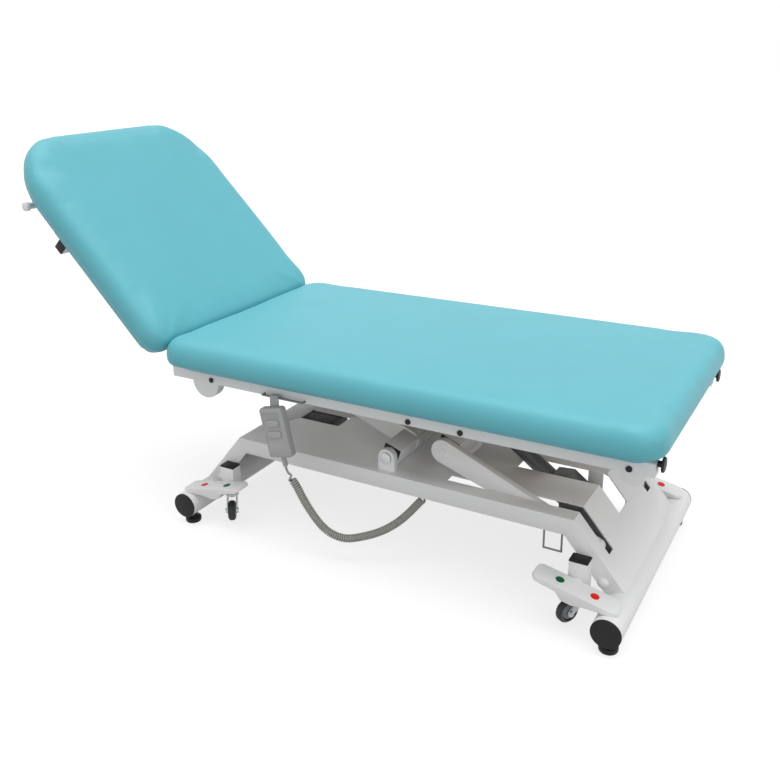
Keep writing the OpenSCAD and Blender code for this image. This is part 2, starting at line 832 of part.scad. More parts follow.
module seat_frame() {
    cross_w = 28;
    head_round_r = 37;
    foot_round_r = 24;
    gas_ear_t = 4;
    gas_ear_y = 9;
    gas_slot_h = 40;
    gas_slot_w = 13;
    gas_ear_back = 16;
    gas_ear_x0 = gas_low[0] - gas_ear_back;
    color(white) difference() {
        union() {
            both_sides() {
                rail_box(rail_x0, rail_x1, rail_y - rail_w / 2, rail_y + rail_w / 2);
                rail_box(head_cross_x, inner_x1, inner_y0, inner_y0 + inner_w);
                rail_box(head_cross_x, head_cross_x + rail_w, inner_y0, rail_y);
                rail_box(stub_x0, stub_x0 + stub_l, inner_y0 + inner_w, rail_y);
                half_round(-447, head_round_r);
                half_round(530, foot_round_r);
                slab(gas_ear_y, gas_ear_y + gas_ear_t) polygon([
                    [gas_bracket_x, board_z - cut_over], [gas_ear_x0, board_z - cut_over],
                    [gas_ear_x0, gas_low[1] - gas_slot_h / 2 - gas_slot_w / 2],
                    [gas_bracket_x, gas_low[1] - gas_slot_h / 2 - gas_slot_w / 2]
                ]);
            }
            rail_box(inner_x1 - cross_w, inner_x1, -rail_y, rail_y);
            rail_box(gas_bracket_x, gas_bracket_x + cross_w, -rail_y, rail_y);
            rail_box(530 - cross_w / 2, 530 + cross_w / 2, -rail_y, rail_y);
        }
        // Upright slots for the pin at the foot end of the gas spring
        slab(-gas_d, gas_d) translate([gas_low[0] - gas_slot_w / 2, gas_low[1] - gas_slot_h / 2])
            square([gas_slot_w, gas_slot_h]);
    }
}

module arm_clevises() {
    color(white) both_sides() {
        for (y = [idler_arm_y - clevis_gap - clevis_t, idler_arm_y + arm_t + clevis_gap])
            slab(y, y + clevis_t) {
                translate(idler_top) circle(r = clevis_r);
                translate([stub_x0, idler_top[1] - clevis_r])
                    square([idler_top[0] - stub_x0, rail_z + rail_h - idler_top[1] + clevis_r]);
            }
        rail_box(stub_x0, stub_x0 + stub_l, idler_arm_y - clevis_gap, idler_arm_y + arm_t + clevis_gap);
        bar_y(idler_top, pivot_d, idler_arm_y - clevis_gap - clevis_t,
            idler_arm_y + arm_t + clevis_gap + clevis_t);
    }
}

module hangers() {
    ring_bore_d = collar_d + 2 * open_pivot_gap;
    neck_w = 56;
    color(white) both_sides() slab(hanger_y, hanger_y + hanger_t) difference() {
        union() {
            translate(drive_top) circle(r = hanger_r);
            translate([drive_top[0] - neck_w / 2, drive_top[1]])
                square([neck_w, rail_z - drive_top[1]]);
        }
        translate(drive_top) circle(d = ring_bore_d);
    }
}

module frame_plugs() {
    plug_w = 12;
    plug_t = 3;
    buffer_t = 5;
    buffer_edge = 1.5;
    buffer_neck_d = 12;
    buffer_neck_l = 8;
    buffer_gap = 0.5;
    plug_xs = [-428, 81, 196, 524];
    color(black) both_sides() {
        for (x = plug_xs) translate([x, rail_y + rail_w / 2, rail_z + rail_h / 3])
            rotate([-90, 0, 0]) cylinder(d = plug_w, h = plug_t);
        translate([rail_x1, rail_y, cushion_z - buffer_gap - buffer_d / 2])
            rotate([0, 90, 0]) rotate_extrude() polygon([
                [0, 0], [buffer_neck_d / 2, 0], [buffer_neck_d / 2, buffer_neck_l],
                [buffer_d / 2, buffer_neck_l], [buffer_d / 2, buffer_neck_l + buffer_t - buffer_edge],
                [buffer_d / 2 - buffer_edge, buffer_neck_l + buffer_t], [0, buffer_neck_l + buffer_t]
            ]);
    }
}

module handset_hook() {
    color(zinc) mirror([0, 1, 0]) {
        for (x = [hook_x0, hook_x1]) translate([x, rail_y + rail_w / 2, hook_z]) rotate([-90, 0, 0])
            cylinder(d = hook_wire_d, h = hook_y - rail_y - rail_w / 2);
        translate([hook_x0, hook_y, hook_z]) rotate([0, 90, 0])
            cylinder(d = hook_wire_d, h = hook_x1 - hook_x0);
        for (x = [hook_x0, hook_x1]) translate([x, hook_y, hook_z]) sphere(d = hook_wire_d);
    }
}

// Cushions and boards

// A corner is the middle of its arc, the two radii and the angle where it starts
seat_corners = [
    [[seat_x1 - seat_foot_r, half_couch - seat_foot_r], [seat_foot_r, seat_foot_r], 0],
    [[seat_x0 + seat_head_r, half_couch - seat_head_r], [seat_head_r, seat_head_r], 90],
    [[seat_x0 + seat_head_r, seat_head_r - half_couch], [seat_head_r, seat_head_r], 180],
    [[seat_x1 - seat_foot_r, seat_foot_r - half_couch], [seat_foot_r, seat_foot_r], 270]
];
back_corners = [
    [[back_s1 - shoulder_l, half_couch - shoulder_w], [shoulder_l, shoulder_w], 0],
    [[back_s0 + back_low_r, half_couch - back_low_r], [back_low_r, back_low_r], 90],
    [[back_s0 + back_low_r, back_low_r - half_couch], [back_low_r, back_low_r], 180],
    [[back_s1 - shoulder_l, shoulder_w - half_couch], [shoulder_l, shoulder_w], 270]
];
corner_steps = 10;
function outline(corners, inset) = [
    for (c = corners, i = [0:corner_steps])
    let (a = c[2] + 90 * i / corner_steps)
    [c[0][0] + (c[1][0] - inset) * cos(a), c[0][1] + (c[1][1] - inset) * sin(a)]
];
function ring_at(corners, inset, z) = [for (p = outline(corners, inset)) [p[0], p[1], z]];
function shrunk(ring, share, z, centre) = [
    for (p = ring) [centre[0] + share * (p[0] - centre[0]), share * p[1], z]
];

// Cushion with drawn-in sides, a round top edge and a crown, from z0 upward
module cushion(corners, centre, z0) {
    side_shares = [[1, 0], [0.45, 0.06], [0.12, 0.2], [0, 0.4], [0.05, 0.6]];
    arc_steps = 5;
    crown_shares = [0.86, 0.7, 0.48, 0.22];
    z1 = z0 + cushion_t;
    sides = [for (s = side_shares) ring_at(corners, s[0] * cushion_draw, z0 + s[1] * cushion_t)];
    edge = [
        for (i = [1:arc_steps])
        let (a = 90 * i / arc_steps)
        ring_at(corners, cushion_draw * 0.05 + cushion_edge_r * (1 - cos(a)),
            z1 - cushion_edge_r + cushion_edge_r * sin(a))
    ];
    rim = ring_at(corners, cushion_edge_r, z1);
    crown = [for (share = crown_shares) shrunk(rim, share, z1 + crown_h * (1 - share * share), centre)];
    skin(concat(sides, edge, crown));
}

module board(corners, inset, z0) {
    translate([0, 0, z0]) linear_extrude(height = board_t) polygon(outline(corners, inset));
}

module seat_board() { color(birch) board(seat_corners, seat_board_inset, board_z); }
module seat_cushion() { color(teal) cushion(seat_corners, [(seat_x0 + seat_x1) / 2, 0], cushion_z); }

// Hinge: ears on the seat frame hold a rod, and barrels on the back frame turn on it
ear_y = 200;
ear_plate_t = 6;
ear_half_w = 12;
barrel_y = 188;
barrel_t = 10;

module hinge_rod() {
    rod_over = 4;
    color(white) both_sides() {
        slab(ear_y, ear_y + ear_plate_t) {
            translate([hinge_x, hinge_z]) circle(r = ear_half_w);
            translate([hinge_x - ear_half_w, rail_z])
                square([2 * ear_half_w, hinge_z - rail_z]);
            translate([hinge_x, rail_z])
                square([head_cross_x - hinge_x, rail_h]);
        }
        bar_y([hinge_x, hinge_z], hinge_rod_d, 0, ear_y + ear_plate_t + rod_over);
    }
}

// Draws in the frame of the back: X runs up the back and Z out of its front
module on_back() {
    translate([hinge_x, 0, hinge_z]) rotate([0, -back_rest_a, 180]) children();
}
back_board_n = -cushion_t / 2 - board_t;
back_rail_n = back_board_n - rail_h;
back_rail_y = 165;
back_rail_s0 = 32;
back_rail_s1 = 520;
cross_s = 362;
roll_s = 500;
roll_d = 16;
roll_n = back_rail_n - 2;
lever_s = -lever_r * sin(37.5);
lever_n = -lever_r * cos(37.5);

module back_box(s0, s1, y0, y1) { box([s0, y0, back_rail_n], [s1, y1, back_board_n]); }

module back_frame() {
    lever_t = 4;
    lever_y = 9;
    lever_eye_r = 9;
    color(white) on_back() {
        difference() {
            union() {
                both_sides() back_box(back_rail_s0, back_rail_s1, back_rail_y, back_rail_y + rail_w);
                back_box(cross_s - rail_w / 2, cross_s + rail_w / 2, -back_cross_y, back_cross_y);
                back_box(back_rail_s0, back_rail_s0 + rail_w, -back_rail_y, back_rail_y);
            }
            bar_y([roll_s, roll_n], roll_d, -half_couch, half_couch);
        }
        both_sides() slab(lever_y, lever_y + lever_t) {
            link([back_rail_s0, lever_n], [lever_s, lever_n], lever_eye_r, lever_eye_r);
        }
        bar_y([lever_s, lever_n], gas_pin_d, -lever_y - lever_t, lever_y + lever_t);
    }
}
back_cross_y = 296;
gas_pin_d = 8;

module back_plugs() {
    color(black) on_back() both_sides()
        back_box(cross_s - rail_w / 2, cross_s + rail_w / 2, back_cross_y, back_cross_y + tube_cap_t);
}

module roll_rod() {
    knob_d = 22;
    knob_l = 10;
    end_y = 298;
    color(white) on_back() {
        bar_y([roll_s, roll_n], roll_d, -end_y, end_y);
        both_sides() bar_y([roll_s, roll_n], knob_d, end_y - knob_l, end_y);
    }
}

module hinge_barrels() {
    barrel_r = 12;
    foot_s = 70;
    color(white) on_back() both_sides() difference() {
        slab(barrel_y, barrel_y + barrel_t) {
            circle(r = barrel_r);
            translate([-barrel_r, back_rail_n]) square([barrel_r + hinge_gap - seat_gap, -back_rail_n]);
            translate([-barrel_r, back_rail_n]) square([foot_s + barrel_r, rail_h]);
        }
        bar_y([0, 0], hinge_rod_d + 2 * run_fit, 0, half_couch);
        back_box(back_rail_s0, back_rail_s1, back_rail_y, back_rail_y + rail_w);
    }
}

module back_board() { color(birch) on_back() board(back_corners, board_inset, back_board_n); }
module back_cushion() {
    color(teal) on_back() cushion(back_corners, [(back_s0 + back_s1) / 2, 0], -cushion_t / 2);
}

// Gas spring
gas_top = [
    hinge_x - lever_s * cos(back_rest_a) + lever_n * sin(back_rest_a),
    hinge_z + lever_s * sin(back_rest_a) + lever_n * cos(back_rest_a)
];
gas_a = atan2(gas_top[1] - gas_low[1], gas_low[0] - gas_top[0]);
gas_span = norm(gas_low - gas_top);
gas_eye_d = 16;
gas_eye_y = 7;

module along_gas() {
    translate([gas_top[0], 0, gas_top[1]]) rotate([0, gas_a, 0]) children();
}

module gas_rod() {
    color(zinc) along_gas() difference() {
        union() {
            bar_y([0, 0], gas_eye_d, -gas_eye_y, gas_eye_y);
            bar_x(gas_rod_d, 0, gas_rod_l);
        }
        bar_y([0, 0], gas_pin_d + 2 * run_fit, -gas_d, gas_d);
    }
}

module gas_cylinder() {
    eye_gap = 25;
    pin_y = 16;
    color(black) along_gas() {
        difference() {
            bar_x(gas_d, gas_span - eye_gap - gas_l, gas_span - eye_gap);
            bar_x(gas_rod_d + 2 * run_fit, gas_span - eye_gap - gas_l - cut_over,
                gas_span - eye_gap - cut_over * 2);
        }
        bar_x(gas_rod_d, gas_span - eye_gap, gas_span);
        bar_y([gas_span, 0], gas_eye_d, -gas_eye_y, gas_eye_y);
        bar_y([gas_span, 0], gas_pin_d, -pin_y, pin_y);
    }
}

// Handset

hand_y = 288;
hand_top = [-240.5, 359];
button_l = 36;
button_w = 15;
button_travel = 1;
button_out = 1.2;
panel_depth = 1;
button_z_shares = [-0.3, -0.52];
clip_t = 3;
clip_up = 25;
hook_x0 = -276;
hook_x1 = -170;
hook_wire_d = 5;
hook_y = 272;
hook_z = hand_top[1] + clip_up - 2 * clip_t - hook_wire_d / 2 - seat_gap;
relief_l = 22;
relief_d = 11;

// Draws in the frame of the handset: Z runs up it and its face looks along +Y before the flip
module on_handset() {
    mirror([0, 1, 0]) translate([hand_top[0], hand_y, hand_top[1]]) rotate([0, -hand_lean, 0]) children();
}

module handset() {
    edge_r = 7;
    panel_w = 46;
    panel_l = 78;
    panel_z = -88;
    clip_w = 22;
    clip_in = 9;
    front = hand_t / 2;
    color(pale_grey) on_handset() difference() {
        union() {
            hull() for (x = [-1, 1], z = [-edge_r, edge_r - hand_l], y = [-1, 1])
                translate([x * (hand_w / 2 - edge_r), y * (front - edge_r), z]) sphere(r = edge_r, $fn = 24);
            translate([0, 0, -hand_l - relief_l]) cylinder(d = relief_d, h = relief_l + edge_r);
            // Clip that hangs over the hook
            rotate([0, hand_lean, 0]) translate([-clip_w / 2, 0, 0]) {
                translate([0, -front, -clip_up]) cube([clip_w, clip_t, 2 * clip_up - clip_t]);
                translate([0, -front - clip_in, clip_up - clip_t * 2])
                    cube([clip_w, clip_in + clip_t, clip_t]);
                translate([0, -front - clip_in, clip_up - clip_t * 4]) cube([clip_w, clip_t / 2, clip_t * 3]);
            }
        }
        translate([-panel_w / 2, front - panel_depth, panel_z]) cube([panel_w, panel_depth + cut_over, panel_l]);
        for (share = button_z_shares) button_shape(share, button_travel + panel_depth + 0.6, seat_gap);
    }
}

// Pocket or button: an upright slot shape across the handset, from depth behind the face
module button_shape(share, depth, gap) {
    front = hand_t / 2;
    translate([0, front - depth, share * hand_l]) rotate([-90, 0, 0]) linear_extrude(height = depth + button_out)
        union() {
            square([button_l - button_w, button_w + 2 * gap], center = true);
            for (s = [-1, 1]) translate([s * (button_l - button_w) / 2, 0]) circle(d = button_w + 2 * gap);
        }
}
module up_button() { color(mid_grey) on_handset() button_shape(button_z_shares[0], panel_depth + 0.3, 0); }
module down_button() { color(mid_grey) on_handset() button_shape(button_z_shares[1], panel_depth + 0.3, 0); }

// Cord

gland_x = 85;
gland_in = 24;
gland_y = gland_in - base_w / 2;
gland_z = 192;
cord_start = [
    hand_top[0] + (hand_l + relief_l + seat_gap) * sin(hand_lean), -hand_y,
    hand_top[1] - (hand_l + relief_l + seat_gap) * cos(hand_lean)
];
cord_route = [
    cord_start, cord_start + 2 * cord_d * [sin(hand_lean), 0, -cos(hand_lean)],
    [-197, -288, 198], [-184, -286, 178], [-172, -283, 152], [-156, -280, 125], [-135, -274, 94],
    [-113, -266, 73], [-83, -255, 63], [-50, -242, 69], [-12, -227, 84], [20, -212, 105],
    [44, -198, 129], [62, -188, 152], [gland_x - 6, -179, 173],
    [gland_x, gland_y, gland_z - 2 * cord_d], [gland_x, gland_y, gland_z]
];
cord_sides = 6;
rings_per_curl = 8;
cord_samples = 8;
lead_l = 3 * cord_d;
ramp_l = 4 * cord_d;

// Smooth curve through the route's points
function curve_at(p, i, t) =
    let (a = p[max(i - 1, 0)], b = p[i], c = p[i + 1], d = p[min(i + 2, len(p) - 1)])
    ((b * 2) + (c - a) * t + (a * 2 - b * 5 + c * 4 - d) * t * t
        + (b * 3 - a - c * 3 + d) * t * t * t) / 2;
cord_line = concat(
    [for (i = [0:len(cord_route) - 2], k = [0:cord_samples - 1]) curve_at(cord_route, i, k / cord_samples)],
    [cord_route[len(cord_route) - 1]]
);
function running(line, i = 0, s = 0, out = []) =
    i == len(line) ? out
    : let (step = i == 0 ? 0 : norm(line[i] - line[i - 1]))
      running(line, i + 1, s + step, concat(out, [s + step]));
cord_s = running(cord_line);
cord_l = cord_s[len(cord_s) - 1];
cord_tables = [for (k = [0:2]) [for (i = [0:len(cord_line) - 1]) [cord_s[i], cord_line[i][k]]]];
function cord_at(s) = [for (k = [0:2]) lookup(s, cord_tables[k])];
function unit(v) = v / norm(v);
function cord_dir(s) = unit(cord_at(min(s + cord_d, cord_l)) - cord_at(max(s - cord_d, 0)));

// Helix round the line: its radius grows from nothing over the first curl and ends the same way
curl_rings = curls * rings_per_curl;
helix_r = (curl_d - cord_d) / 2;
function curl_share(i) = min(1, i / rings_per_curl, (curl_rings - i) / rings_per_curl);
function ease(t) = t * t * (3 - 2 * t);
function curl_s(i) =
    let (ramp = ramp_l / rings_per_curl)
    i < rings_per_curl ? lead_l + i * ramp
    : i > curl_rings - rings_per_curl ? cord_l - lead_l - (curl_rings - i) * ramp
    : lead_l + ramp_l + (cord_l - 2 * lead_l - 2 * ramp_l) * (i - rings_per_curl)
        / (curl_rings - 2 * rings_per_curl);
function helix_ref(i) =
    let (s = curl_s(i), t = cord_dir(s),
        side = unit(cross([0, 1, 0], t)), up = cross(t, side), a = 360 * i / rings_per_curl)
    side * cos(a) + up * sin(a);
function helix_at(i) = cord_at(curl_s(i)) + helix_ref(i) * helix_r * ease(curl_share(i));
cord_points = concat(
    [cord_at(0), cord_at(cord_d), cord_at(2 * cord_d)],
    [for (i = [0:curl_rings]) helix_at(i)],
    [cord_at(cord_l - 2 * cord_d), cord_at(cord_l - cord_d), cord_at(cord_l)]
);
cord_refs = concat(
    [for (k = [0:2]) helix_ref(0)],
    [for (i = [0:curl_rings]) helix_ref(i)],
    [for (k = [0:2]) helix_ref(curl_rings)]
);
cord_rings = [
    for (i = [0:len(cord_points) - 1])
    let (
        p = cord_points[max(i - 1, 0)], q = cord_points[min(i + 1, len(cord_points) - 1)],
        t = unit(q - p), r = cord_refs[i], u = unit(r - t * (r * t)), v = cross(t, u)
    )
    [for (j = [0:cord_sides - 1]) let (a = 360 * j / cord_sides)
        cord_points[i] + (u * cos(a) + v * sin(a)) * cord_d / 2]
];
cord_gaps = [
    for (i = [0:len(cord_points) - 1], k = [rings_per_curl / 2:2 * rings_per_curl])
    if (i + k < len(cord_points)) norm(cord_points[i + k] - cord_points[i]) - cord_d
];
echo(least_gap_of_the_cord_to_itself = min(cord_gaps), cord_length = cord_l);

module curly_cord() { color(mid_grey) skin(cord_rings); }

module cord_gland() {
    flange_d = 20;
    flange_t = 4;
    color(black) translate([gland_x, gland_y, 0]) {
        translate([0, 0, gland_z]) cylinder(d = relief_d, h = base_h - sheet_t - gland_z);
        translate([0, 0, base_h - sheet_t - flange_t]) cylinder(d = flange_d, h = flange_t);
    }
}

place() base_frame();
place() foot_tubes();
place() tube_caps();
place() caster_posts();
place() post_caps();
place() skirt_domes();
place() arm_brackets();
place() base_pins();
place() control_box();
place() cord_gland();
place() wire_hook();
place() corner(1, -1) leveller();  // foot_near_leveller
place() corner(1, 1) leveller();  // foot_far_leveller
place() corner(-1, -1) leveller();  // head_near_leveller
place() corner(-1, 1) leveller();  // head_far_leveller
place() corner(1, -1) pedal();  // foot_near_pedal
place() corner(1, 1) pedal();  // foot_far_pedal
place() corner(-1, -1) pedal();  // head_near_pedal
place() corner(-1, 1) pedal();  // head_far_pedal
place() corner(1, -1) stem();  // foot_near_stem
place() corner(1, 1) stem();  // foot_far_stem
place() corner(-1, -1) stem();  // head_near_stem
place() corner(-1, 1) stem();  // head_far_stem
place() corner(1, -1) fork();  // foot_near_fork
place() corner(1, 1) fork();  // foot_far_fork
place() corner(-1, -1) fork();  // head_near_fork
place() corner(-1, 1) fork();  // head_far_fork
place() corner(1, -1) wheel();  // foot_near_wheel
place() corner(1, 1) wheel();  // foot_far_wheel
place() corner(-1, -1) wheel();  // head_near_wheel
place() corner(-1, 1) wheel();  // head_far_wheel
place() idler_arms();
place() idler_caps();
place() drive_arms();
place() drive_beam();
place() drive_caps();
place() crank_ears();
place() actuator_rod();
place() actuator_body();
place() seat_frame();
place() hangers();
place() arm_clevises();
place() frame_plugs();
place() seat_board();
place() seat_cushion();
place() hinge_rod();
place() handset_hook();
place() back_frame();
place() hinge_barrels();
place() back_plugs();
place() roll_rod();
place() back_board();
place() back_cushion();
place() gas_rod();
place() gas_cylinder();
place() handset();
place() up_button();
place() down_button();
place() curly_cord();
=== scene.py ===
"""Looks of an examination couch: upholstery, coated steel, casters, handset and curly cord."""

import json
import math

import bpy
import bmesh
import numpy
from mathutils import Matrix, Vector, geometry

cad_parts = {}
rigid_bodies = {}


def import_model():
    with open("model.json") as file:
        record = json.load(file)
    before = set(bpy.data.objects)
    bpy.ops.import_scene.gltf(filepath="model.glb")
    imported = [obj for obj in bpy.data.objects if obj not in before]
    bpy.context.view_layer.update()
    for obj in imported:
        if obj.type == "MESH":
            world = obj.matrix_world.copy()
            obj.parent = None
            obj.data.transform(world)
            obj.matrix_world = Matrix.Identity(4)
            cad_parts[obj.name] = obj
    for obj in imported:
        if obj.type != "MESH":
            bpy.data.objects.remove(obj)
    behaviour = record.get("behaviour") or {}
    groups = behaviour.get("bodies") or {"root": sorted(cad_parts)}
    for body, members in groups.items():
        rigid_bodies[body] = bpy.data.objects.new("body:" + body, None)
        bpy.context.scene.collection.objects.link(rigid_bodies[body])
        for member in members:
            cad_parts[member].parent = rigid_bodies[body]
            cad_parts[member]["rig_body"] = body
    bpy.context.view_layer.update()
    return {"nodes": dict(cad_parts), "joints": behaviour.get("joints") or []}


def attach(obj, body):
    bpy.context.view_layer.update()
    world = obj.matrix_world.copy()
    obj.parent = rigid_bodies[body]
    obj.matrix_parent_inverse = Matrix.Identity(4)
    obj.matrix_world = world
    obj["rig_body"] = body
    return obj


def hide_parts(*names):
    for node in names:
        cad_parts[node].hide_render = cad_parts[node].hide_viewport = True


bl_info = {
    "name": "Examination couch",
    "version": (1, 0, 0),
    "blender": (4, 5, 0),
    "location": "3D View > Sidebar > Couch",
    "description": "Builds the upholstery, finishes and fittings of an examination couch",
    "category": "Object",
}

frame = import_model()

MM = 0.001


def joint(name):
    """The record's entry for one joint."""
    return next(j for j in frame["joints"] if j["name"] == name)


# Places that the solids share: the lift's lower head pivot sets the couch's own origin
IDLER_X = -0.016
ORIGIN_X = joint("lift")["pos_m"][0] - IDLER_X
BACK_ANGLE = math.radians(45.5)
UP_THE_BACK = Vector((-math.cos(BACK_ANGLE), 0, math.sin(BACK_ANGLE)))
OUT_OF_BACK = Vector((math.sin(BACK_ANGLE), 0, math.cos(BACK_ANGLE)))
# Each section's direction away from the fold, and the direction out of its board
SEAT_AXES = (Vector((1, 0, 0)), Vector((0, 0, 1)))
BACK_AXES = (UP_THE_BACK, OUT_OF_BACK)
ACROSS = Vector((0, 1, 0))
CORNERS = ("foot_near", "foot_far", "head_near", "head_far")


def body_of(node):
    return frame["nodes"][node]["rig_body"]


# Shader groups


def new_group(name, inputs, outputs):
    """A shader node group with named sockets. Returns it with its input and output nodes."""
    group = bpy.data.node_groups.new(name, "ShaderNodeTree")
    for label, kind, default in inputs:
        socket = group.interface.new_socket(name=label, in_out="INPUT", socket_type=kind)
        socket.default_value = default
    for label, kind in outputs:
        group.interface.new_socket(name=label, in_out="OUTPUT", socket_type=kind)
    return group, group.nodes.new("NodeGroupInput"), group.nodes.new("NodeGroupOutput")


def noise(tree, vector, scale, detail):
    """A noise texture on a vector socket, with its scale from a socket."""
    node = tree.nodes.new("ShaderNodeTexNoise")
    node.inputs["Detail"].default_value = detail
    tree.links.new(vector, node.inputs["Vector"])
    tree.links.new(scale, node.inputs["Scale"])
    return node


def maths(tree, operation, *values):
    """A maths node whose inputs are numbers or sockets. Returns its output socket."""
    node = tree.nodes.new("ShaderNodeMath")
    node.operation = operation
    for socket, value in zip(node.inputs, values):
        if isinstance(value, (int, float)):
            socket.default_value = value
        else:
            tree.links.new(value, socket)
    return node.outputs[0]


def shade(tree, color, factor):
    """A colour made lighter or darker by a factor socket."""
    node = tree.nodes.new("ShaderNodeHueSaturation")
    tree.links.new(color, node.inputs["Color"])
    tree.links.new(factor, node.inputs["Value"])
    return node.outputs["Color"]


def place_on(tree):
    """Where a point lies on its piece."""
    return tree.nodes.new("ShaderNodeTexCoord").outputs["Object"]


def scaled(tree, vector, factors):
    """A vector multiplied by three factors, or by a vector socket."""
    node = tree.nodes.new("ShaderNodeVectorMath")
    node.operation = "MULTIPLY"
    tree.links.new(vector, node.inputs[0])
    if isinstance(factors, tuple):
        node.inputs[1].default_value = factors
    else:
        tree.links.new(factors, node.inputs[1])
    return node.outputs["Vector"]


def swing_of(tree, texture):
    """A noise texture's value, swinging about zero."""
    return maths(tree, "SUBTRACT", texture.outputs["Fac"], 0.5)


def mottled(tree, entry, swing):
    """A lightness that swings about one by the group's Mottle."""
    mottle = maths(tree, "MULTIPLY", entry.outputs["Mottle"], 2.0)
    return maths(tree, "MULTIPLY_ADD", swing, mottle, 1.0)


def uneven(tree, entry, swing):
    """A roughness that swings about the group's Roughness by its spread."""
    spread, level = entry.outputs["Roughness Spread"], entry.outputs["Roughness"]
    return maths(tree, "MULTIPLY_ADD", swing, spread, level)


def put_out(tree, entry, exit_node, light, rough, height):
    """Links the lightened colour, the roughness and the height to the group's outputs."""
    color = shade(tree, entry.outputs["Color"], light)
    for label, socket in (("Color", color), ("Roughness", rough), ("Height", height)):
        tree.links.new(socket, exit_node.inputs[label])


SURFACE_OUTPUTS = [
    ("Color", "NodeSocketColor"),
    ("Roughness", "NodeSocketFloat"),
    ("Height", "NodeSocketFloat"),
]
SURFACE_INPUTS = [
    ("Color", "NodeSocketColor", (0.8, 0.8, 0.8, 1.0)),
    ("Mottle", "NodeSocketFloat", 0.03),
    ("Mottle Scale", "NodeSocketFloat", 6.0),
    ("Grain Scale", "NodeSocketFloat", 900.0),
    ("Roughness", "NodeSocketFloat", 0.4),
    ("Roughness Spread", "NodeSocketFloat", 0.08),
]


def fine_surface_group():
    """Coated, moulded or rubber surface: soft mottling, uneven sheen and a fine grain."""
    group, entry, exit_node = new_group("Fine surface", SURFACE_INPUTS, SURFACE_OUTPUTS)
    place = place_on(group)
    broad = noise(group, place, entry.outputs["Mottle Scale"], 3.0)
    grain = noise(group, place, entry.outputs["Grain Scale"], 2.0)
    swing = swing_of(group, broad)
    speckle = swing_of(group, grain)
    half_spread = maths(group, "MULTIPLY", entry.outputs["Roughness Spread"], 0.5)
    rough = maths(group, "MULTIPLY_ADD", speckle, half_spread, uneven(group, entry, swing))
    light = mottled(group, entry, swing)
    put_out(group, entry, exit_node, light, rough, grain.outputs["Fac"])
    return group


def vinyl_group():
    """Upholstery vinyl: small pebbled cells, painted shade in the creases between them and soft
    mottling.
    """
    # The last of these values darkens the creases and lightens the cell middles: painted shade.
    cell_softness, crease_level, painted_crease_shade = 0.4, 0.35, -0.06
    fine_scale, fine_share = 3.0, 0.25
    group, entry, exit_node = new_group("Vinyl grain", SURFACE_INPUTS, SURFACE_OUTPUTS)
    place = place_on(group)
    cells = group.nodes.new("ShaderNodeTexVoronoi")
    cells.feature = "SMOOTH_F1"
    cells.inputs["Smoothness"].default_value = cell_softness
    group.links.new(place, cells.inputs["Vector"])
    group.links.new(entry.outputs["Grain Scale"], cells.inputs["Scale"])
    broad = noise(group, place, entry.outputs["Mottle Scale"], 4.0)
    finer = maths(group, "MULTIPLY", entry.outputs["Grain Scale"], fine_scale)
    fine = noise(group, place, finer, 2.0)
    crease = maths(group, "SUBTRACT", cells.outputs["Distance"], crease_level)
    light = mottled(group, entry, swing_of(group, broad))
    # Painted shade: the colour darkens toward the creases between the cells and lightens at their
    # middles.
    light = maths(group, "MULTIPLY_ADD", crease, painted_crease_shade, light)
    dome = maths(group, "SUBTRACT", 1.0, cells.outputs["Distance"])
    height = maths(group, "MULTIPLY_ADD", fine.outputs["Fac"], fine_share, dome)
    put_out(group, entry, exit_node, light, uneven(group, entry, crease), height)
    return group


def drawn_metal_group():
    """Plated or drawn steel: fine lines along one axis over a cloudy plating."""
    streak_share = 0.5
    inputs = SURFACE_INPUTS + [("Stretch", "NodeSocketVector", (1.0, 1.0, 0.03))]
    group, entry, exit_node = new_group("Drawn metal", inputs, SURFACE_OUTPUTS)
    place = place_on(group)
    drawn = scaled(group, place, entry.outputs["Stretch"])
    lines = noise(group, drawn, entry.outputs["Grain Scale"], 3.0)
    clouds = noise(group, place, entry.outputs["Mottle Scale"], 3.0)
    streak = swing_of(group, lines)
    both = maths(group, "MULTIPLY_ADD", streak, streak_share, swing_of(group, clouds))
    light, rough = mottled(group, entry, both), uneven(group, entry, both)
    put_out(group, entry, exit_node, light, rough, lines.outputs["Fac"])
    return group


def plywood_group():
    """Plywood: long figure on the faces and thin layers on the edges, turned with the board."""
    figure_squeeze, layer_waves, layer_shade = (0.12, 1.0, 1.0), 2100.0, 0.06
    inputs = SURFACE_INPUTS + [("Turn", "NodeSocketFloat", 0.0)]
    group, entry, exit_node = new_group("Plywood", inputs, SURFACE_OUTPUTS)
    turned = group.nodes.new("ShaderNodeVectorRotate")
    turned.rotation_type = "Y_AXIS"
    group.links.new(place_on(group), turned.inputs["Vector"])
    group.links.new(entry.outputs["Turn"], turned.inputs["Angle"])
    axes = group.nodes.new("ShaderNodeSeparateXYZ")
    group.links.new(turned.outputs["Vector"], axes.inputs["Vector"])
    squeezed = scaled(group, turned.outputs["Vector"], figure_squeeze)
    figure = noise(group, squeezed, entry.outputs["Grain Scale"], 5.0)
    layers = maths(group, "SINE", maths(group, "MULTIPLY", axes.outputs["Z"], layer_waves))
    swing = swing_of(group, figure)
    light = mottled(group, entry, swing)
    light = maths(group, "MULTIPLY_ADD", layers, layer_shade, light)
    rough = uneven(group, entry, swing)
    put_out(group, entry, exit_node, light, rough, figure.outputs["Fac"])
    return group


GROUPS = {}


def shader_group(maker):
    """Each group is built once and shared by the materials."""
    if maker.__name__ not in GROUPS:
        GROUPS[maker.__name__] = maker()
    return GROUPS[maker.__name__]


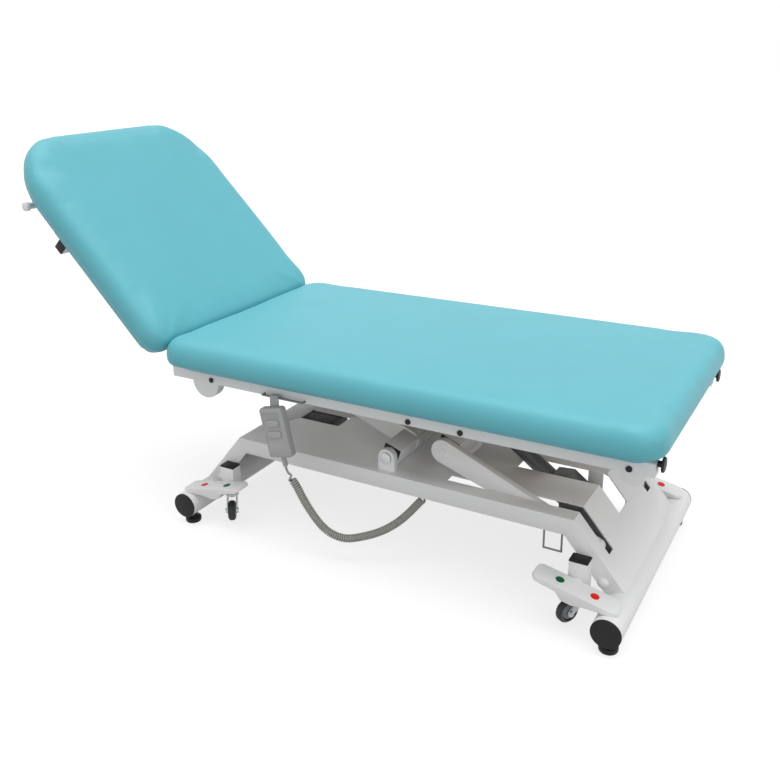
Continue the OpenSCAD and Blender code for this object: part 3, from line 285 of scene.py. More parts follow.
def new_material(name, maker, values, bump, bump_distance, **shader_values):
    """A material whose colour, roughness and bump come from a shader group with its own values."""
    material = bpy.data.materials.new(name)
    material.use_nodes = True
    tree = material.node_tree
    shader = tree.nodes["Principled BSDF"]
    surface = tree.nodes.new("ShaderNodeGroup")
    surface.node_tree = shader_group(maker)
    for label, value in values.items():
        surface.inputs[label].default_value = value
    relief = tree.nodes.new("ShaderNodeBump")
    relief.inputs["Strength"].default_value = bump
    relief.inputs["Distance"].default_value = bump_distance
    tree.links.new(surface.outputs["Color"], shader.inputs["Base Color"])
    tree.links.new(surface.outputs["Roughness"], shader.inputs["Roughness"])
    tree.links.new(surface.outputs["Height"], relief.inputs["Height"])
    tree.links.new(relief.outputs["Normal"], shader.inputs["Normal"])
    for label, value in shader_values.items():
        shader.inputs[label.replace("_", " ")].default_value = value
    return material


class CouchColours(bpy.types.PropertyGroup):
    """Colours of the couch's finishes."""

    vinyl: bpy.props.FloatVectorProperty(
        name="Vinyl", description="Colour of the upholstery", subtype="COLOR", size=3,
        default=(0.113, 0.458, 0.534), min=0, max=1)
    coat: bpy.props.FloatVectorProperty(
        name="Coat", description="Colour of the powder-coated steel", subtype="COLOR", size=3,
        default=(0.86, 0.86, 0.86), min=0, max=1)
    black: bpy.props.FloatVectorProperty(
        name="Black plastic", description="Colour of caps, plugs and levelling feet",
        subtype="COLOR", size=3, default=(0.012, 0.012, 0.013), min=0, max=1)
    tyre: bpy.props.FloatVectorProperty(
        name="Tyre", description="Colour of the caster tyres", subtype="COLOR", size=3,
        default=(0.022, 0.023, 0.024), min=0, max=1)
    zinc: bpy.props.FloatVectorProperty(
        name="Zinc", description="Colour of the plated steel", subtype="COLOR", size=3,
        default=(0.46, 0.47, 0.48), min=0, max=1)
    wire: bpy.props.FloatVectorProperty(
        name="Wire", description="Colour of the bent wire hooks", subtype="COLOR", size=3,
        default=(0.20, 0.20, 0.21), min=0, max=1)
    hub: bpy.props.FloatVectorProperty(
        name="Hub", description="Colour of the caster wheels inside their tyres",
        subtype="COLOR", size=3, default=(0.27, 0.28, 0.29), min=0, max=1)
    rod: bpy.props.FloatVectorProperty(
        name="Bright rod", description="Colour of the actuator's and the gas spring's rods",
        subtype="COLOR", size=3, default=(0.62, 0.62, 0.63), min=0, max=1)
    dark_paint: bpy.props.FloatVectorProperty(
        name="Dark paint", description="Colour of the brackets and the actuator",
        subtype="COLOR", size=3, default=(0.105, 0.110, 0.115), min=0, max=1)
    plywood: bpy.props.FloatVectorProperty(
        name="Plywood", description="Colour of the boards under the cushions",
        subtype="COLOR", size=3, default=(0.38, 0.30, 0.20), min=0, max=1)
    handset: bpy.props.FloatVectorProperty(
        name="Handset", description="Colour of the handset's housing", subtype="COLOR", size=3,
        default=(0.40, 0.40, 0.40), min=0, max=1)
    buttons: bpy.props.FloatVectorProperty(
        name="Buttons", description="Colour of the handset's buttons", subtype="COLOR", size=3,
        default=(0.43, 0.43, 0.43), min=0, max=1)
    cord: bpy.props.FloatVectorProperty(
        name="Cord", description="Colour of the curly cord", subtype="COLOR", size=3,
        default=(0.34, 0.335, 0.31), min=0, max=1)
    go: bpy.props.FloatVectorProperty(
        name="Green dot", description="Colour of the dot on the end that lets the casters down",
        subtype="COLOR", size=3, default=(0.0, 0.120, 0.048), min=0, max=1)
    stop: bpy.props.FloatVectorProperty(
        name="Red dot", description="Colour of the dot on the end that lifts the casters",
        subtype="COLOR", size=3, default=(0.80, 0.014, 0.006), min=0, max=1)


class CouchSizes(bpy.types.PropertyGroup):
    """Sizes of the finishing work."""

    voxel: bpy.props.FloatProperty(
        name="Foam grid", description="Grid of the cushions while they swell", unit="LENGTH",
        default=0.009, min=0.006, max=0.02)
    swell: bpy.props.FloatProperty(
        name="Swell", description="How far a point of a cushion may move as it swells",
        unit="LENGTH", default=0.006, min=0.0, max=0.02)
    fullness: bpy.props.FloatProperty(
        name="Fullness", description="How far a cushion bulges past its cut foam", unit="LENGTH",
        default=0.006, min=0.0, max=0.012)
    edge_roll: bpy.props.FloatProperty(
        name="Edge roll", description="Radius of the roll along a cushion's free edges",
        unit="LENGTH", default=0.030, min=0.02, max=0.045)
    fold_reach: bpy.props.FloatProperty(
        name="Fold reach", description="How far the foam of a cushion presses toward the fold",
        unit="LENGTH", default=0.011, min=0.0, max=0.014)
    fold_zone: bpy.props.FloatProperty(
        name="Fold zone", description="Length of cushion that presses toward the fold",
        unit="LENGTH", default=0.070, min=0.03, max=0.15)
    cover_margin: bpy.props.FloatProperty(
        name="Cover margin", description="Width of the cover that is stapled under a board",
        unit="LENGTH", default=0.040, min=0.01, max=0.09)
    cover_t: bpy.props.FloatProperty(
        name="Cover thickness", description="Thickness of the vinyl cover", unit="LENGTH",
        default=0.0012, min=0.0005, max=0.003)
    hub_d: bpy.props.FloatProperty(
        name="Hub diameter", description="Diameter of a caster wheel inside its tyre",
        unit="LENGTH", default=0.030, min=0.02, max=0.04)
    dot_d: bpy.props.FloatProperty(
        name="Dot diameter", description="Diameter of the coloured dots on the pedals",
        unit="LENGTH", default=0.0172, min=0.01, max=0.02)
    dot_t: bpy.props.FloatProperty(
        name="Dot thickness", description="Thickness of the coloured dots on the pedals",
        unit="LENGTH", default=0.0012, min=0.0005, max=0.003)
    cord_d: bpy.props.FloatProperty(
        name="Cord diameter", description="Diameter of the curly cord", unit="LENGTH",
        default=0.005, min=0.003, max=0.008)
    curl_d: bpy.props.FloatProperty(
        name="Curl diameter", description="Outer diameter of the curls", unit="LENGTH",
        default=0.0185, min=0.012, max=0.02)
    curls: bpy.props.IntProperty(
        name="Curls", description="Number of curls in the cord", default=76, min=10, max=90)
    plate_edge: bpy.props.FloatProperty(
        name="Plate edge", description="Rounding of cut sheet and plate", unit="LENGTH",
        default=0.0008, min=0.0001, max=0.003)
    tube_edge: bpy.props.FloatProperty(
        name="Tube edge", description="Rounding of square tubes and arms", unit="LENGTH",
        default=0.002, min=0.0005, max=0.004)
    moulded_edge: bpy.props.FloatProperty(
        name="Moulded edge", description="Rounding of the moulded pedals", unit="LENGTH",
        default=0.003, min=0.0005, max=0.006)


def colours():
    return bpy.context.scene.couch_colours


def sizes():
    return bpy.context.scene.couch_sizes


def tint(name):
    """A user colour as the four numbers that a colour socket takes."""
    return (*getattr(colours(), name), 1.0)


FINISHES = {}


def finish(name):
    """The material of one finish, made on first use."""
    if name not in FINISHES:
        FINISHES[name] = FINISH_MAKERS[name]()
    return FINISHES[name]


def powder_coat():
    return new_material(
        "Powder coat", fine_surface_group,
        {"Color": tint("coat"), "Mottle": 0.012, "Mottle Scale": 5.0, "Grain Scale": 1400.0,
         "Roughness": 0.36, "Roughness Spread": 0.10},
        bump=0.10, bump_distance=0.0002)


def vinyl():
    return new_material(
        "Vinyl", vinyl_group,
        {"Color": tint("vinyl"), "Mottle": 0.05, "Mottle Scale": 9.0, "Grain Scale": 700.0,
         "Roughness": 0.46, "Roughness Spread": 0.18},
        bump=0.30, bump_distance=0.0004, Sheen_Weight=0.05, Sheen_Roughness=0.4)


def black_plastic():
    return new_material(
        "Black plastic", fine_surface_group,
        {"Color": tint("black"), "Mottle": 0.15, "Mottle Scale": 40.0, "Grain Scale": 2200.0,
         "Roughness": 0.48, "Roughness Spread": 0.15},
        bump=0.25, bump_distance=0.0002, Specular_IOR_Level=0.25)


def tyre_rubber():
    return new_material(
        "Tyre rubber", fine_surface_group,
        {"Color": tint("tyre"), "Mottle": 0.25, "Mottle Scale": 60.0, "Grain Scale": 1800.0,
         "Roughness": 0.62, "Roughness Spread": 0.2},
        bump=0.3, bump_distance=0.0002)


def zinc():
    return new_material(
        "Zinc", drawn_metal_group,
        {"Color": tint("zinc"), "Mottle": 0.14, "Mottle Scale": 90.0, "Grain Scale": 1500.0,
         "Roughness": 0.34, "Roughness Spread": 0.22},
        bump=0.08, bump_distance=0.0001, Metallic=1.0)


def wire_finish():
    return new_material(
        "Wire", drawn_metal_group,
        {"Color": tint("wire"), "Mottle": 0.12, "Mottle Scale": 90.0, "Grain Scale": 1500.0,
         "Roughness": 0.42, "Roughness Spread": 0.20},
        bump=0.08, bump_distance=0.0001, Metallic=0.6)


def hub_plastic():
    return new_material(
        "Hub plastic", fine_surface_group,
        {"Color": tint("hub"), "Mottle": 0.06, "Mottle Scale": 60.0, "Grain Scale": 2200.0,
         "Roughness": 0.50, "Roughness Spread": 0.12},
        bump=0.2, bump_distance=0.0002)


def bright_rod():
    return new_material(
        "Bright rod", drawn_metal_group,
        {"Color": tint("rod"), "Mottle": 0.05, "Mottle Scale": 50.0, "Grain Scale": 2500.0,
         "Roughness": 0.16, "Roughness Spread": 0.10},
        bump=0.03, bump_distance=0.0001, Metallic=1.0)


def dark_paint():
    return new_material(
        "Dark paint", fine_surface_group,
        {"Color": tint("dark_paint"), "Mottle": 0.10, "Mottle Scale": 25.0, "Grain Scale": 1600.0,
         "Roughness": 0.44, "Roughness Spread": 0.14},
        bump=0.2, bump_distance=0.0002)


def plywood_board(name, turn):
    return new_material(
        name, plywood_group,
        {"Color": tint("plywood"), "Mottle": 0.16, "Grain Scale": 45.0, "Roughness": 0.62,
         "Roughness Spread": 0.15, "Turn": turn},
        bump=0.25, bump_distance=0.0003)


def plywood():
    return plywood_board("Plywood", 0.0)


def plywood_back():
    return plywood_board("Plywood of the back", -BACK_ANGLE)


def handset_plastic():
    return new_material(
        "Handset plastic", fine_surface_group,
        {"Color": tint("handset"), "Mottle": 0.03, "Mottle Scale": 30.0, "Grain Scale": 2600.0,
         "Roughness": 0.45, "Roughness Spread": 0.10},
        bump=0.25, bump_distance=0.0002)


def button_plastic():
    return new_material(
        "Button plastic", fine_surface_group,
        {"Color": tint("buttons"), "Mottle": 0.04, "Mottle Scale": 60.0, "Grain Scale": 2600.0,
         "Roughness": 0.55, "Roughness Spread": 0.10},
        bump=0.2, bump_distance=0.0002)


def cord_sheath():
    return new_material(
        "Cord sheath", fine_surface_group,
        {"Color": tint("cord"), "Mottle": 0.05, "Mottle Scale": 50.0, "Grain Scale": 2400.0,
         "Roughness": 0.42, "Roughness Spread": 0.12},
        bump=0.1, bump_distance=0.0001)


def dot_lacquer(name, colour):
    return new_material(
        name, fine_surface_group,
        {"Color": tint(colour), "Mottle": 0.05, "Mottle Scale": 120.0, "Grain Scale": 2000.0,
         "Roughness": 0.38, "Roughness Spread": 0.1},
        bump=0.08, bump_distance=0.0001, Specular_IOR_Level=0.2)


def green_lacquer():
    return dot_lacquer("Green lacquer", "go")


def red_lacquer():
    return dot_lacquer("Red lacquer", "stop")


FINISH_MAKERS = {
    "coat": powder_coat, "vinyl": vinyl, "black": black_plastic, "tyre": tyre_rubber,
    "zinc": zinc, "wire": wire_finish, "hub": hub_plastic, "rod": bright_rod,
    "dark": dark_paint, "plywood": plywood, "plywood_back": plywood_back,
    "handset": handset_plastic, "buttons": button_plastic, "cord": cord_sheath,
    "green": green_lacquer, "red": red_lacquer,
}


# Making and keeping pieces


# Closer points become one, and faces closer to one plane become one face
MERGE_REACH = 0.02 * MM
FLAT_ANGLE = math.radians(0.3)


def select_only(obj):
    bpy.ops.object.select_all(action="DESELECT")
    obj.select_set(True)
    bpy.context.view_layer.objects.active = obj


def apply_modifiers(obj):
    select_only(obj)
    for modifier in list(obj.modifiers):
        bpy.ops.object.modifier_apply(modifier=modifier.name)


def settle(obj):
    """Puts a finished piece's place into its mesh."""
    select_only(obj)
    bpy.ops.object.transform_apply(location=True, rotation=True, scale=True)


def keep(obj, name, body, material, smooth=35):
    """Names a finished piece, gives it its finish and lets it ride on its body."""
    settle(obj)
    obj.name = name
    obj.data.name = name
    obj.data.materials.clear()
    obj.data.materials.append(finish(material))
    bpy.ops.object.shade_smooth_by_angle(angle=math.radians(smooth))
    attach(obj, body)


def copy_of(node):
    """A new object with a node's solid as one clean mesh, selected and active."""
    obj = bpy.data.objects.new(node + "_piece", frame["nodes"][node].data.copy())
    bpy.context.scene.collection.objects.link(obj)
    select_only(obj)
    bpy.ops.object.mode_set(mode="EDIT")
    bpy.ops.mesh.select_all(action="SELECT")
    bpy.ops.mesh.remove_doubles(threshold=MERGE_REACH)
    bpy.ops.mesh.dissolve_limited(angle_limit=FLAT_ANGLE)
    bpy.ops.mesh.customdata_custom_splitnormals_clear()
    bpy.ops.object.mode_set(mode="OBJECT")
    return obj


def soften(obj, width, segments=2, angle=30):
    """Rounds the edges that are sharper than an angle."""
    bevel = obj.modifiers.new("Soft edges", "BEVEL")
    bevel.width = width
    bevel.segments = segments
    bevel.limit_method = "ANGLE"
    bevel.angle_limit = math.radians(angle)
    bevel.use_clamp_overlap = True
    bevel.miter_outer = "MITER_ARC"
    apply_modifiers(obj)


def dress(node, material, width, segments=2, angle=30):
    """Finishes a node: its own shape with softened edges and a real finish stands for it."""
    obj = copy_of(node)
    if width:
        soften(obj, width, segments, angle)
    keep(obj, node + "_finished", body_of(node), material)
    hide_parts(node)
    return obj


def paint_where(obj, material, test):
    """Gives a second finish to the faces whose middle passes a test."""
    obj.data.materials.append(finish(material))
    index = len(obj.data.materials) - 1
    for face in obj.data.polygons:
        if test(face.center):
            face.material_index = index


# Cushions


BASE_GROUP = "base"
# Points lower than this share of a grid step belong to the flat underside
BASE_SHARE = 0.4
# Share of the fullness by which the cover stands below its board
UNDERSIDE_SHARE = 0.3
# Rounds of smoothing before and after the foam swells
CUT_SMOOTHING = 4
SWOLLEN_SMOOTHING = 2


def cloth_swell(obj):
    """Lets air pressure swell a closed mesh whose underside is pinned, and keeps the result."""
    last_step = 20
    cloth = obj.modifiers.new("Foam", "CLOTH")
    settings = cloth.settings
    settings.quality = 5
    settings.mass = 0.3
    settings.tension_stiffness = 15
    settings.compression_stiffness = 15
    settings.shear_stiffness = 5
    settings.bending_stiffness = 4
    settings.use_pressure = True
    settings.uniform_pressure_force = 4.0
    settings.vertex_group_mass = BASE_GROUP
    settings.effector_weights.gravity = 0
    cloth.collision_settings.use_collision = False
    cloth.point_cache.frame_end = last_step
    scene = bpy.context.scene
    for step in range(1, last_step + 1):
        scene.frame_set(step)
    apply_modifiers(obj)
    scene.frame_set(1)


def spans(obj, directions):
    """The lowest and highest reach of a mesh along each direction."""
    reach = [[v.co.dot(d) for v in obj.data.vertices] for d in directions]
    return [(min(values), max(values)) for values in reach]


def stretch_to(obj, directions, wanted):
    """Stretches a mesh so that it reaches the wanted places along each direction."""
    for direction, (low, high), (start, end) in zip(directions, spans(obj, directions), wanted):
        factor = (end - start) / (high - low)
        for vertex in obj.data.vertices:
            along = vertex.co.dot(direction)
            vertex.co += direction * (start + (along - low) * factor - along)


def roll_edges(obj, along, up, floor_level, top_level):
    """Deepens the roll of a cushion's top edge along its free sides.

    Sides that face the fold keep the roll of the solid."""
    solid_roll, fold_facing = 0.020, -0.9
    mesh = obj.data
    places = numpy.array([v.co for v in mesh.vertices])
    plan = places @ numpy.array((along, ACROSS)).T
    outline = plan[geometry.convex_hull_2d(plan.tolist())]
    ahead = numpy.roll(outline, -1, axis=0) - outline
    outward = numpy.stack((ahead[:, 1], -ahead[:, 0]), axis=1)
    outward /= numpy.linalg.norm(outward, axis=1)[:, None]
    depth = numpy.maximum(0, (outline * outward).sum(axis=1) - plan @ outward.T)
    radius = numpy.where(outward[:, 0] < fold_facing, solid_roll, sizes().edge_roll)

    def fall(depth, radius):
        inside = numpy.maximum(0, radius - depth)
        return radius - numpy.sqrt(radius ** 2 - inside ** 2)

    height = top_level - floor_level
    wanted = height - fall(depth, radius).max(axis=1)
    solid = height - fall(depth.min(axis=1), solid_roll)
    above = places @ numpy.array(up) - floor_level
    places += (above * (wanted / solid - 1))[:, None] * numpy.array(up)
    mesh.vertices.foreach_set("co", places.ravel())
    mesh.update()


def upholster(cushion, board, name, along, up):
    """Swells one cover over a cushion and the edge of its board."""
    backing = copy_of(board)
    obj = copy_of(cushion)
    backing.select_set(True)
    bpy.ops.object.join()
    directions = (along, ACROSS, up)
    (fold, free_end), (near, far), (floor_level, top_level) = spans(obj, directions)
    remesh = obj.modifiers.new("Grid", "REMESH")
    remesh.mode = "VOXEL"
    remesh.voxel_size = sizes().voxel
    apply_modifiers(obj)
    roll_edges(obj, along, up, floor_level, top_level)
    base_top = floor_level + BASE_SHARE * sizes().voxel
    base = [v.index for v in obj.data.vertices if v.co.dot(up) < base_top]
    obj.vertex_groups.new(name=BASE_GROUP).add(base, 1.0, "REPLACE")
    round_off(obj, CUT_SMOOTHING)
    before = [v.co.copy() for v in obj.data.vertices]
    cloth_swell(obj)
    for vertex, old in zip(obj.data.vertices, before):
        move = vertex.co - old
        if move.length > sizes().swell:
            vertex.co = old + move.normalized() * sizes().swell
    round_off(obj, SWOLLEN_SMOOTHING)
    obj.vertex_groups.clear()
    full = sizes().fullness
    underside = floor_level - UNDERSIDE_SHARE * full
    wanted = ((fold, free_end + full), (near - full, far + full), (underside, top_level + full))
    stretch_to(obj, directions, wanted)
    for vertex in obj.data.vertices:
        share = max(0.0, 1 - (vertex.co.dot(along) - fold) / sizes().fold_zone)
        vertex.co -= along * sizes().fold_reach * share * share
    finer = obj.modifiers.new("Fine", "SUBSURF")
    finer.levels = 1
    finer.render_levels = 1
    apply_modifiers(obj)
    keep(obj, name, body_of(cushion), "vinyl", smooth=180)
    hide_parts(cushion)


def round_off(obj, times):
    """Evens out a mesh, apart from its flat underside."""
    smoother = obj.modifiers.new("Even", "SMOOTH")
    smoother.factor = 0.5
    smoother.iterations = times
    smoother.vertex_group = BASE_GROUP
    smoother.invert_vertex_group = True
    apply_modifiers(obj)


def board_panel(node, material, along, up):
    """The bare middle of a board's underside, inside the stapled rim of the cover."""
    obj = copy_of(node)
    directions = (along, ACROSS, up)
    (head, foot), (near, far), (bottom, _) = spans(obj, directions)
    rim = sizes().cover_margin
    bottom -= UNDERSIDE_SHARE * sizes().fullness + sizes().cover_t
    top = bottom + 4 * sizes().cover_t
    stretch_to(obj, directions, ((head + rim, foot - rim), (near + rim, far - rim), (bottom, top)))
    keep(obj, node + "_panel", body_of(node), material)
    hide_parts(node)


class COUCH_OT_seat_cushion(bpy.types.Operator):
    """Upholsters the seat cushion"""

    bl_idname = "couch.seat_cushion"
    bl_label = "Seat cushion"

    def execute(self, context):
        upholster("seat_cushion", "seat_board", "seat_upholstery", *SEAT_AXES)
        return {"FINISHED"}


class COUCH_OT_back_cushion(bpy.types.Operator):
    """Upholsters the back cushion"""

    bl_idname = "couch.back_cushion"
    bl_label = "Back cushion"

    def execute(self, context):
        upholster("back_cushion", "back_board", "back_upholstery", *BACK_AXES)
        return {"FINISHED"}


# Curly cord


# The cord starts below the handset's strain relief and ends in the base's gland. Its places
# are in the couch's own frame, and SHIFT takes them to the shared one.
HANDSET_TOP = Vector((-0.2405, -0.288, 0.359))
HANDSET_LEAN = math.radians(12.5)
HANDSET_L = 0.115
RELIEF_L = 0.0223
DOWN_THE_HANDSET = Vector((math.sin(HANDSET_LEAN), 0, -math.cos(HANDSET_LEAN)))
CORD_EXIT = HANDSET_TOP + (HANDSET_L + RELIEF_L) * DOWN_THE_HANDSET
GLAND = Vector((0.085, -0.175, 0.192))
CORD_ROUTE = [Vector(place) for place in (
    (-0.197, -0.288, 0.198), (-0.184, -0.286, 0.178), (-0.172, -0.283, 0.152),
    (-0.156, -0.280, 0.125), (-0.135, -0.274, 0.094), (-0.113, -0.266, 0.073),
    (-0.083, -0.255, 0.063), (-0.050, -0.242, 0.069), (-0.012, -0.227, 0.084),
    (0.020, -0.212, 0.105), (0.044, -0.198, 0.129), (0.062, -0.188, 0.152),
    (0.079, -0.179, 0.173),
)]
SHIFT = Vector((ORIGIN_X, 0, 0))
# Less than any real step along the cord
TINY = 1e-12


def smooth_line(points, samples):
    """A smooth line through points."""
    line = []
    for i in range(len(points) - 1):
        a, b = points[max(i - 1, 0)], points[i]
        c, d = points[i + 1], points[min(i + 2, len(points) - 1)]
        for k in range(samples):
            t = k / samples
            line.append((b * 2 + (c - a) * t + (a * 2 - b * 5 + c * 4 - d) * t * t
                         + (b * 3 - a - c * 3 + d) * t ** 3) / 2)
    return line + [points[-1]]


def measured(line):
    """The distance along a line at each of its points."""
    along = [0.0]
    for a, b in zip(line, line[1:]):
        along.append(along[-1] + (b - a).length)
    return along


def tube_mesh(name, centres, reference, radius, sides):
    """A closed round tube on a line of centres, each ring turned by its reference direction."""
    mesh = bmesh.new()
    rings = []
    last = len(centres) - 1
    for i, centre in enumerate(centres):
        tangent = (centres[min(i + 1, last)] - centres[max(i - 1, 0)]).normalized()
        u = (reference[i] - tangent * reference[i].dot(tangent)).normalized()
        v = tangent.cross(u)
        turns = [2 * math.pi * j / sides for j in range(sides)]
        spokes = [u * math.cos(a) + v * math.sin(a) for a in turns]
        rings.append([mesh.verts.new(centre + spoke * radius) for spoke in spokes])
    for a, b in zip(rings, rings[1:]):
        for j in range(sides):
            k = (j + 1) % sides
            mesh.faces.new((a[j], a[k], b[k], b[j]))
    mesh.faces.new(rings[0][::-1])
    mesh.faces.new(rings[-1])
    bmesh.ops.recalc_face_normals(mesh, faces=mesh.faces)
    data = bpy.data.meshes.new(name)
    mesh.to_mesh(data)
    mesh.free()
    obj = bpy.data.objects.new(name, data)
    bpy.context.scene.collection.objects.link(obj)
    return obj


class COUCH_OT_curly_cord(bpy.types.Operator):
    """Winds the handset's curly cord along its route"""

    bl_idname = "couch.curly_cord"
    bl_label = "Curly cord"

    line_samples = 8
    rings_per_curl = 16
    sides = 10

    def execute(self, context):
        thick, curls = sizes().cord_d, sizes().curls
        route = [CORD_EXIT, CORD_EXIT + 2 * thick * DOWN_THE_HANDSET, *CORD_ROUTE,
                 GLAND - Vector((0, 0, 2 * thick)), GLAND]
        line = smooth_line([p + SHIFT for p in route], self.line_samples)
        along = measured(line)
        total = along[-1]

        def at(s):
            s = min(max(s, 0.0), total)
            i = next(k for k in range(1, len(along)) if along[k] >= s - TINY)
            share = (s - along[i - 1]) / max(along[i] - along[i - 1], TINY)
            return line[i - 1].lerp(line[i], share)

        def direction(s):
            return (at(s + thick) - at(s - thick)).normalized()

        # A straight lead, a ramp of one growing curl and then even curls, from both ends
        lead, ramp = 3 * thick, 4 * thick
        per_curl = self.rings_per_curl
        rings = curls * per_curl
        even_l, even_rings = total - 2 * lead - 2 * ramp, rings - 2 * per_curl
        reach = (sizes().curl_d - thick) / 2
        centres = [at(0), at(thick), at(2 * thick)]
        reference = []
        for i in range(rings + 1):
            edge = min(i, rings - i)
            if edge < per_curl:
                near = lead + edge * ramp / per_curl
                s = near if edge == i else total - near
            else:
                s = lead + ramp + even_l * (i - per_curl) / even_rings
            grown = min(1.0, edge / per_curl)
            tangent = direction(s)
            side = ACROSS.cross(tangent).normalized()
            turn = 2 * math.pi * i / per_curl
            spoke = side * math.cos(turn) + tangent.cross(side) * math.sin(turn)
            centres.append(at(s) + spoke * reach * grown * grown * (3 - 2 * grown))
            reference.append(spoke)
        centres += [at(total - 2 * thick), at(total - thick), at(total)]
        reference = [reference[0]] * 3 + reference + [reference[-1]] * 3
        node, name = "curly_cord", "curly_cord_sheath"
        cord = tube_mesh(name, centres, reference, thick / 2, self.sides)
        keep(cord, name, body_of(node), "cord", smooth=80)
        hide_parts(node)
        return {"FINISHED"}


# Steel, plastic and rubber pieces


class COUCH_OT_base(bpy.types.Operator):
    """Finishes the folded base and what is fixed to it"""

    bl_idname = "couch.base"
    bl_label = "Base"

    def execute(self, context):
        plate, tube = sizes().plate_edge, sizes().tube_edge
        dress("base_frame", "coat", plate)
        dress("foot_tubes", "coat", plate)
        dress("tube_caps", "black", 1.2 * MM, 3)
        dress("caster_posts", "coat", tube)
        dress("post_caps", "black", 0.6 * MM)
        dress("skirt_domes", "coat", 0)
        dress("arm_brackets", "dark", plate)
        dress("base_pins", "zinc", plate)
        dress("control_box", "black", 2.0 * MM)
        dress("cord_gland", "black", plate)
        dress("wire_hook", "wire", 0)
        return {"FINISHED"}


class COUCH_OT_feet(bpy.types.Operator):
    """Finishes the levelling feet"""

    bl_idname = "couch.feet"
    bl_label = "Levelling feet"

    def execute(self, context):
        for corner in CORNERS:
            dress(corner + "_leveller", "black", 0.5 * MM)
        return {"FINISHED"}


class COUCH_OT_casters(bpy.types.Operator):
    """Finishes the stems, forks and wheels"""

    bl_idname = "couch.casters"
    bl_label = "Casters"

    def execute(self, context):
        for corner in CORNERS:
            dress(corner + "_stem", "zinc", 0.4 * MM)
            dress(corner + "_fork", "zinc", 0.5 * MM)
            self.two_tone(corner, dress(corner + "_wheel", "tyre", 0.5 * MM))
        return {"FINISHED"}

    def two_tone(self, corner, wheel):
        """Paints the wheel inside its tyre."""
        roll = joint(corner + "_roll")
        place, axle = Vector(roll["pos_m"]), Vector(roll["axis"]).normalized()

        def in_hub(centre):
            spoke = centre - place
            return (spoke - axle * spoke.dot(axle)).length < sizes().hub_d / 2

        paint_where(wheel, "hub", in_hub)


class COUCH_OT_pedals(bpy.types.Operator):
    """Finishes the rocking pedals and their dots"""

    bl_idname = "couch.pedals"
    bl_label = "Pedals"

    tilt = math.radians(12.4)
    pedal_w = 0.050
    green_reach = 0.0275
    red_reach = 0.0435
    dot_sides = 40

    def dot(self, corner, colour, reach):
        """A lacquered disc on a pedal, some way from its axle toward the end of the couch."""
        node = corner + "_pedal"
        axle = Vector(joint(corner + "_press")["pos_m"])
        end = 1 if corner.startswith("foot") else -1
        side = -1 if corner.endswith("near") else 1
        out = Vector((end * math.cos(self.tilt), 0, -math.sin(self.tilt)))
        up = Vector((end * math.sin(self.tilt), 0, math.cos(self.tilt)))
        points = [v.co for v in frame["nodes"][node].data.vertices]
        top = max((p - axle).dot(up) for p in points)
        outer_y = max(side * p.y for p in points)
        place = axle + out * reach + up * top
        place.y = side * (outer_y - self.pedal_w / 2)
        bpy.ops.object.select_all(action="DESELECT")
        bpy.ops.mesh.primitive_cylinder_add(
            vertices=self.dot_sides, radius=sizes().dot_d / 2, depth=sizes().dot_t,
            location=place, rotation=(0, end * self.tilt, 0))
        disc = bpy.context.active_object
        soften(disc, 0.3 * MM)
        keep(disc, corner + "_" + colour + "_dot", body_of(node), colour)

    def execute(self, context):
        for corner in CORNERS:
            dress(corner + "_pedal", "coat", sizes().moulded_edge, 4, angle=20)
            for colour, reach in (("green", -self.green_reach), ("red", self.red_reach)):
                self.dot(corner, colour, reach)
        return {"FINISHED"}


class COUCH_OT_lift(bpy.types.Operator):
    """Finishes the arms, beams, crank and actuator of the lift"""

    bl_idname = "couch.lift"
    bl_label = "Lift"

    def execute(self, context):
        tube = sizes().tube_edge
        dress("idler_arms", "coat", tube)
        dress("idler_caps", "black", 0.8 * MM)
        dress("drive_arms", "coat", tube)
        dress("drive_beam", "coat", tube)
        dress("drive_caps", "black", 0.8 * MM)
        dress("crank_ears", "coat", sizes().plate_edge)
        dress("actuator_rod", "rod", 0.5 * MM)
        dress("actuator_body", "dark", 2.0 * MM, 3)
        return {"FINISHED"}


class COUCH_OT_seat_frame(bpy.types.Operator):
    """Finishes the seat's frame, hangers, clevises, plugs, hinge rod, hook and board"""

    bl_idname = "couch.seat_frame"
    bl_label = "Seat frame"

    def execute(self, context):
        tube = sizes().tube_edge
        dress("seat_frame", "coat", tube)
        dress("hangers", "coat", sizes().plate_edge)
        dress("arm_clevises", "coat", sizes().plate_edge)
        dress("frame_plugs", "black", 0.8 * MM, 3)
        dress("hinge_rod", "coat", sizes().plate_edge)
        dress("handset_hook", "wire", 0)
        board_panel("seat_board", "plywood", *SEAT_AXES)
        return {"FINISHED"}


class COUCH_OT_back_frame(bpy.types.Operator):
    """Finishes the back's frame, barrels, plugs, roll rod and board"""

    bl_idname = "couch.back_frame"
    bl_label = "Back frame"

    def execute(self, context):
        dress("back_frame", "coat", sizes().tube_edge)
        dress("hinge_barrels", "coat", sizes().plate_edge)
        dress("back_plugs", "black", 0.8 * MM)
        dress("roll_rod", "coat", 0.8 * MM)
        board_panel("back_board", "plywood_back", *BACK_AXES)
        return {"FINISHED"}


class COUCH_OT_gas_spring(bpy.types.Operator):
    """Finishes the gas spring"""

    bl_idname = "couch.gas_spring"
    bl_label = "Gas spring"

    def execute(self, context):
        dress("gas_rod", "rod", 0.5 * MM)
        dress("gas_cylinder", "black", 0.8 * MM)
        return {"FINISHED"}


class COUCH_OT_handset(bpy.types.Operator):
    """Finishes the handset and its buttons"""

    bl_idname = "couch.handset"
    bl_label = "Handset"

    def execute(self, context):
        dress("handset", "handset", 0.4 * MM)
        dress("up_button", "buttons", 0.6 * MM, 3)
        dress("down_button", "buttons", 0.6 * MM, 3)
        return {"FINISHED"}


# Stage


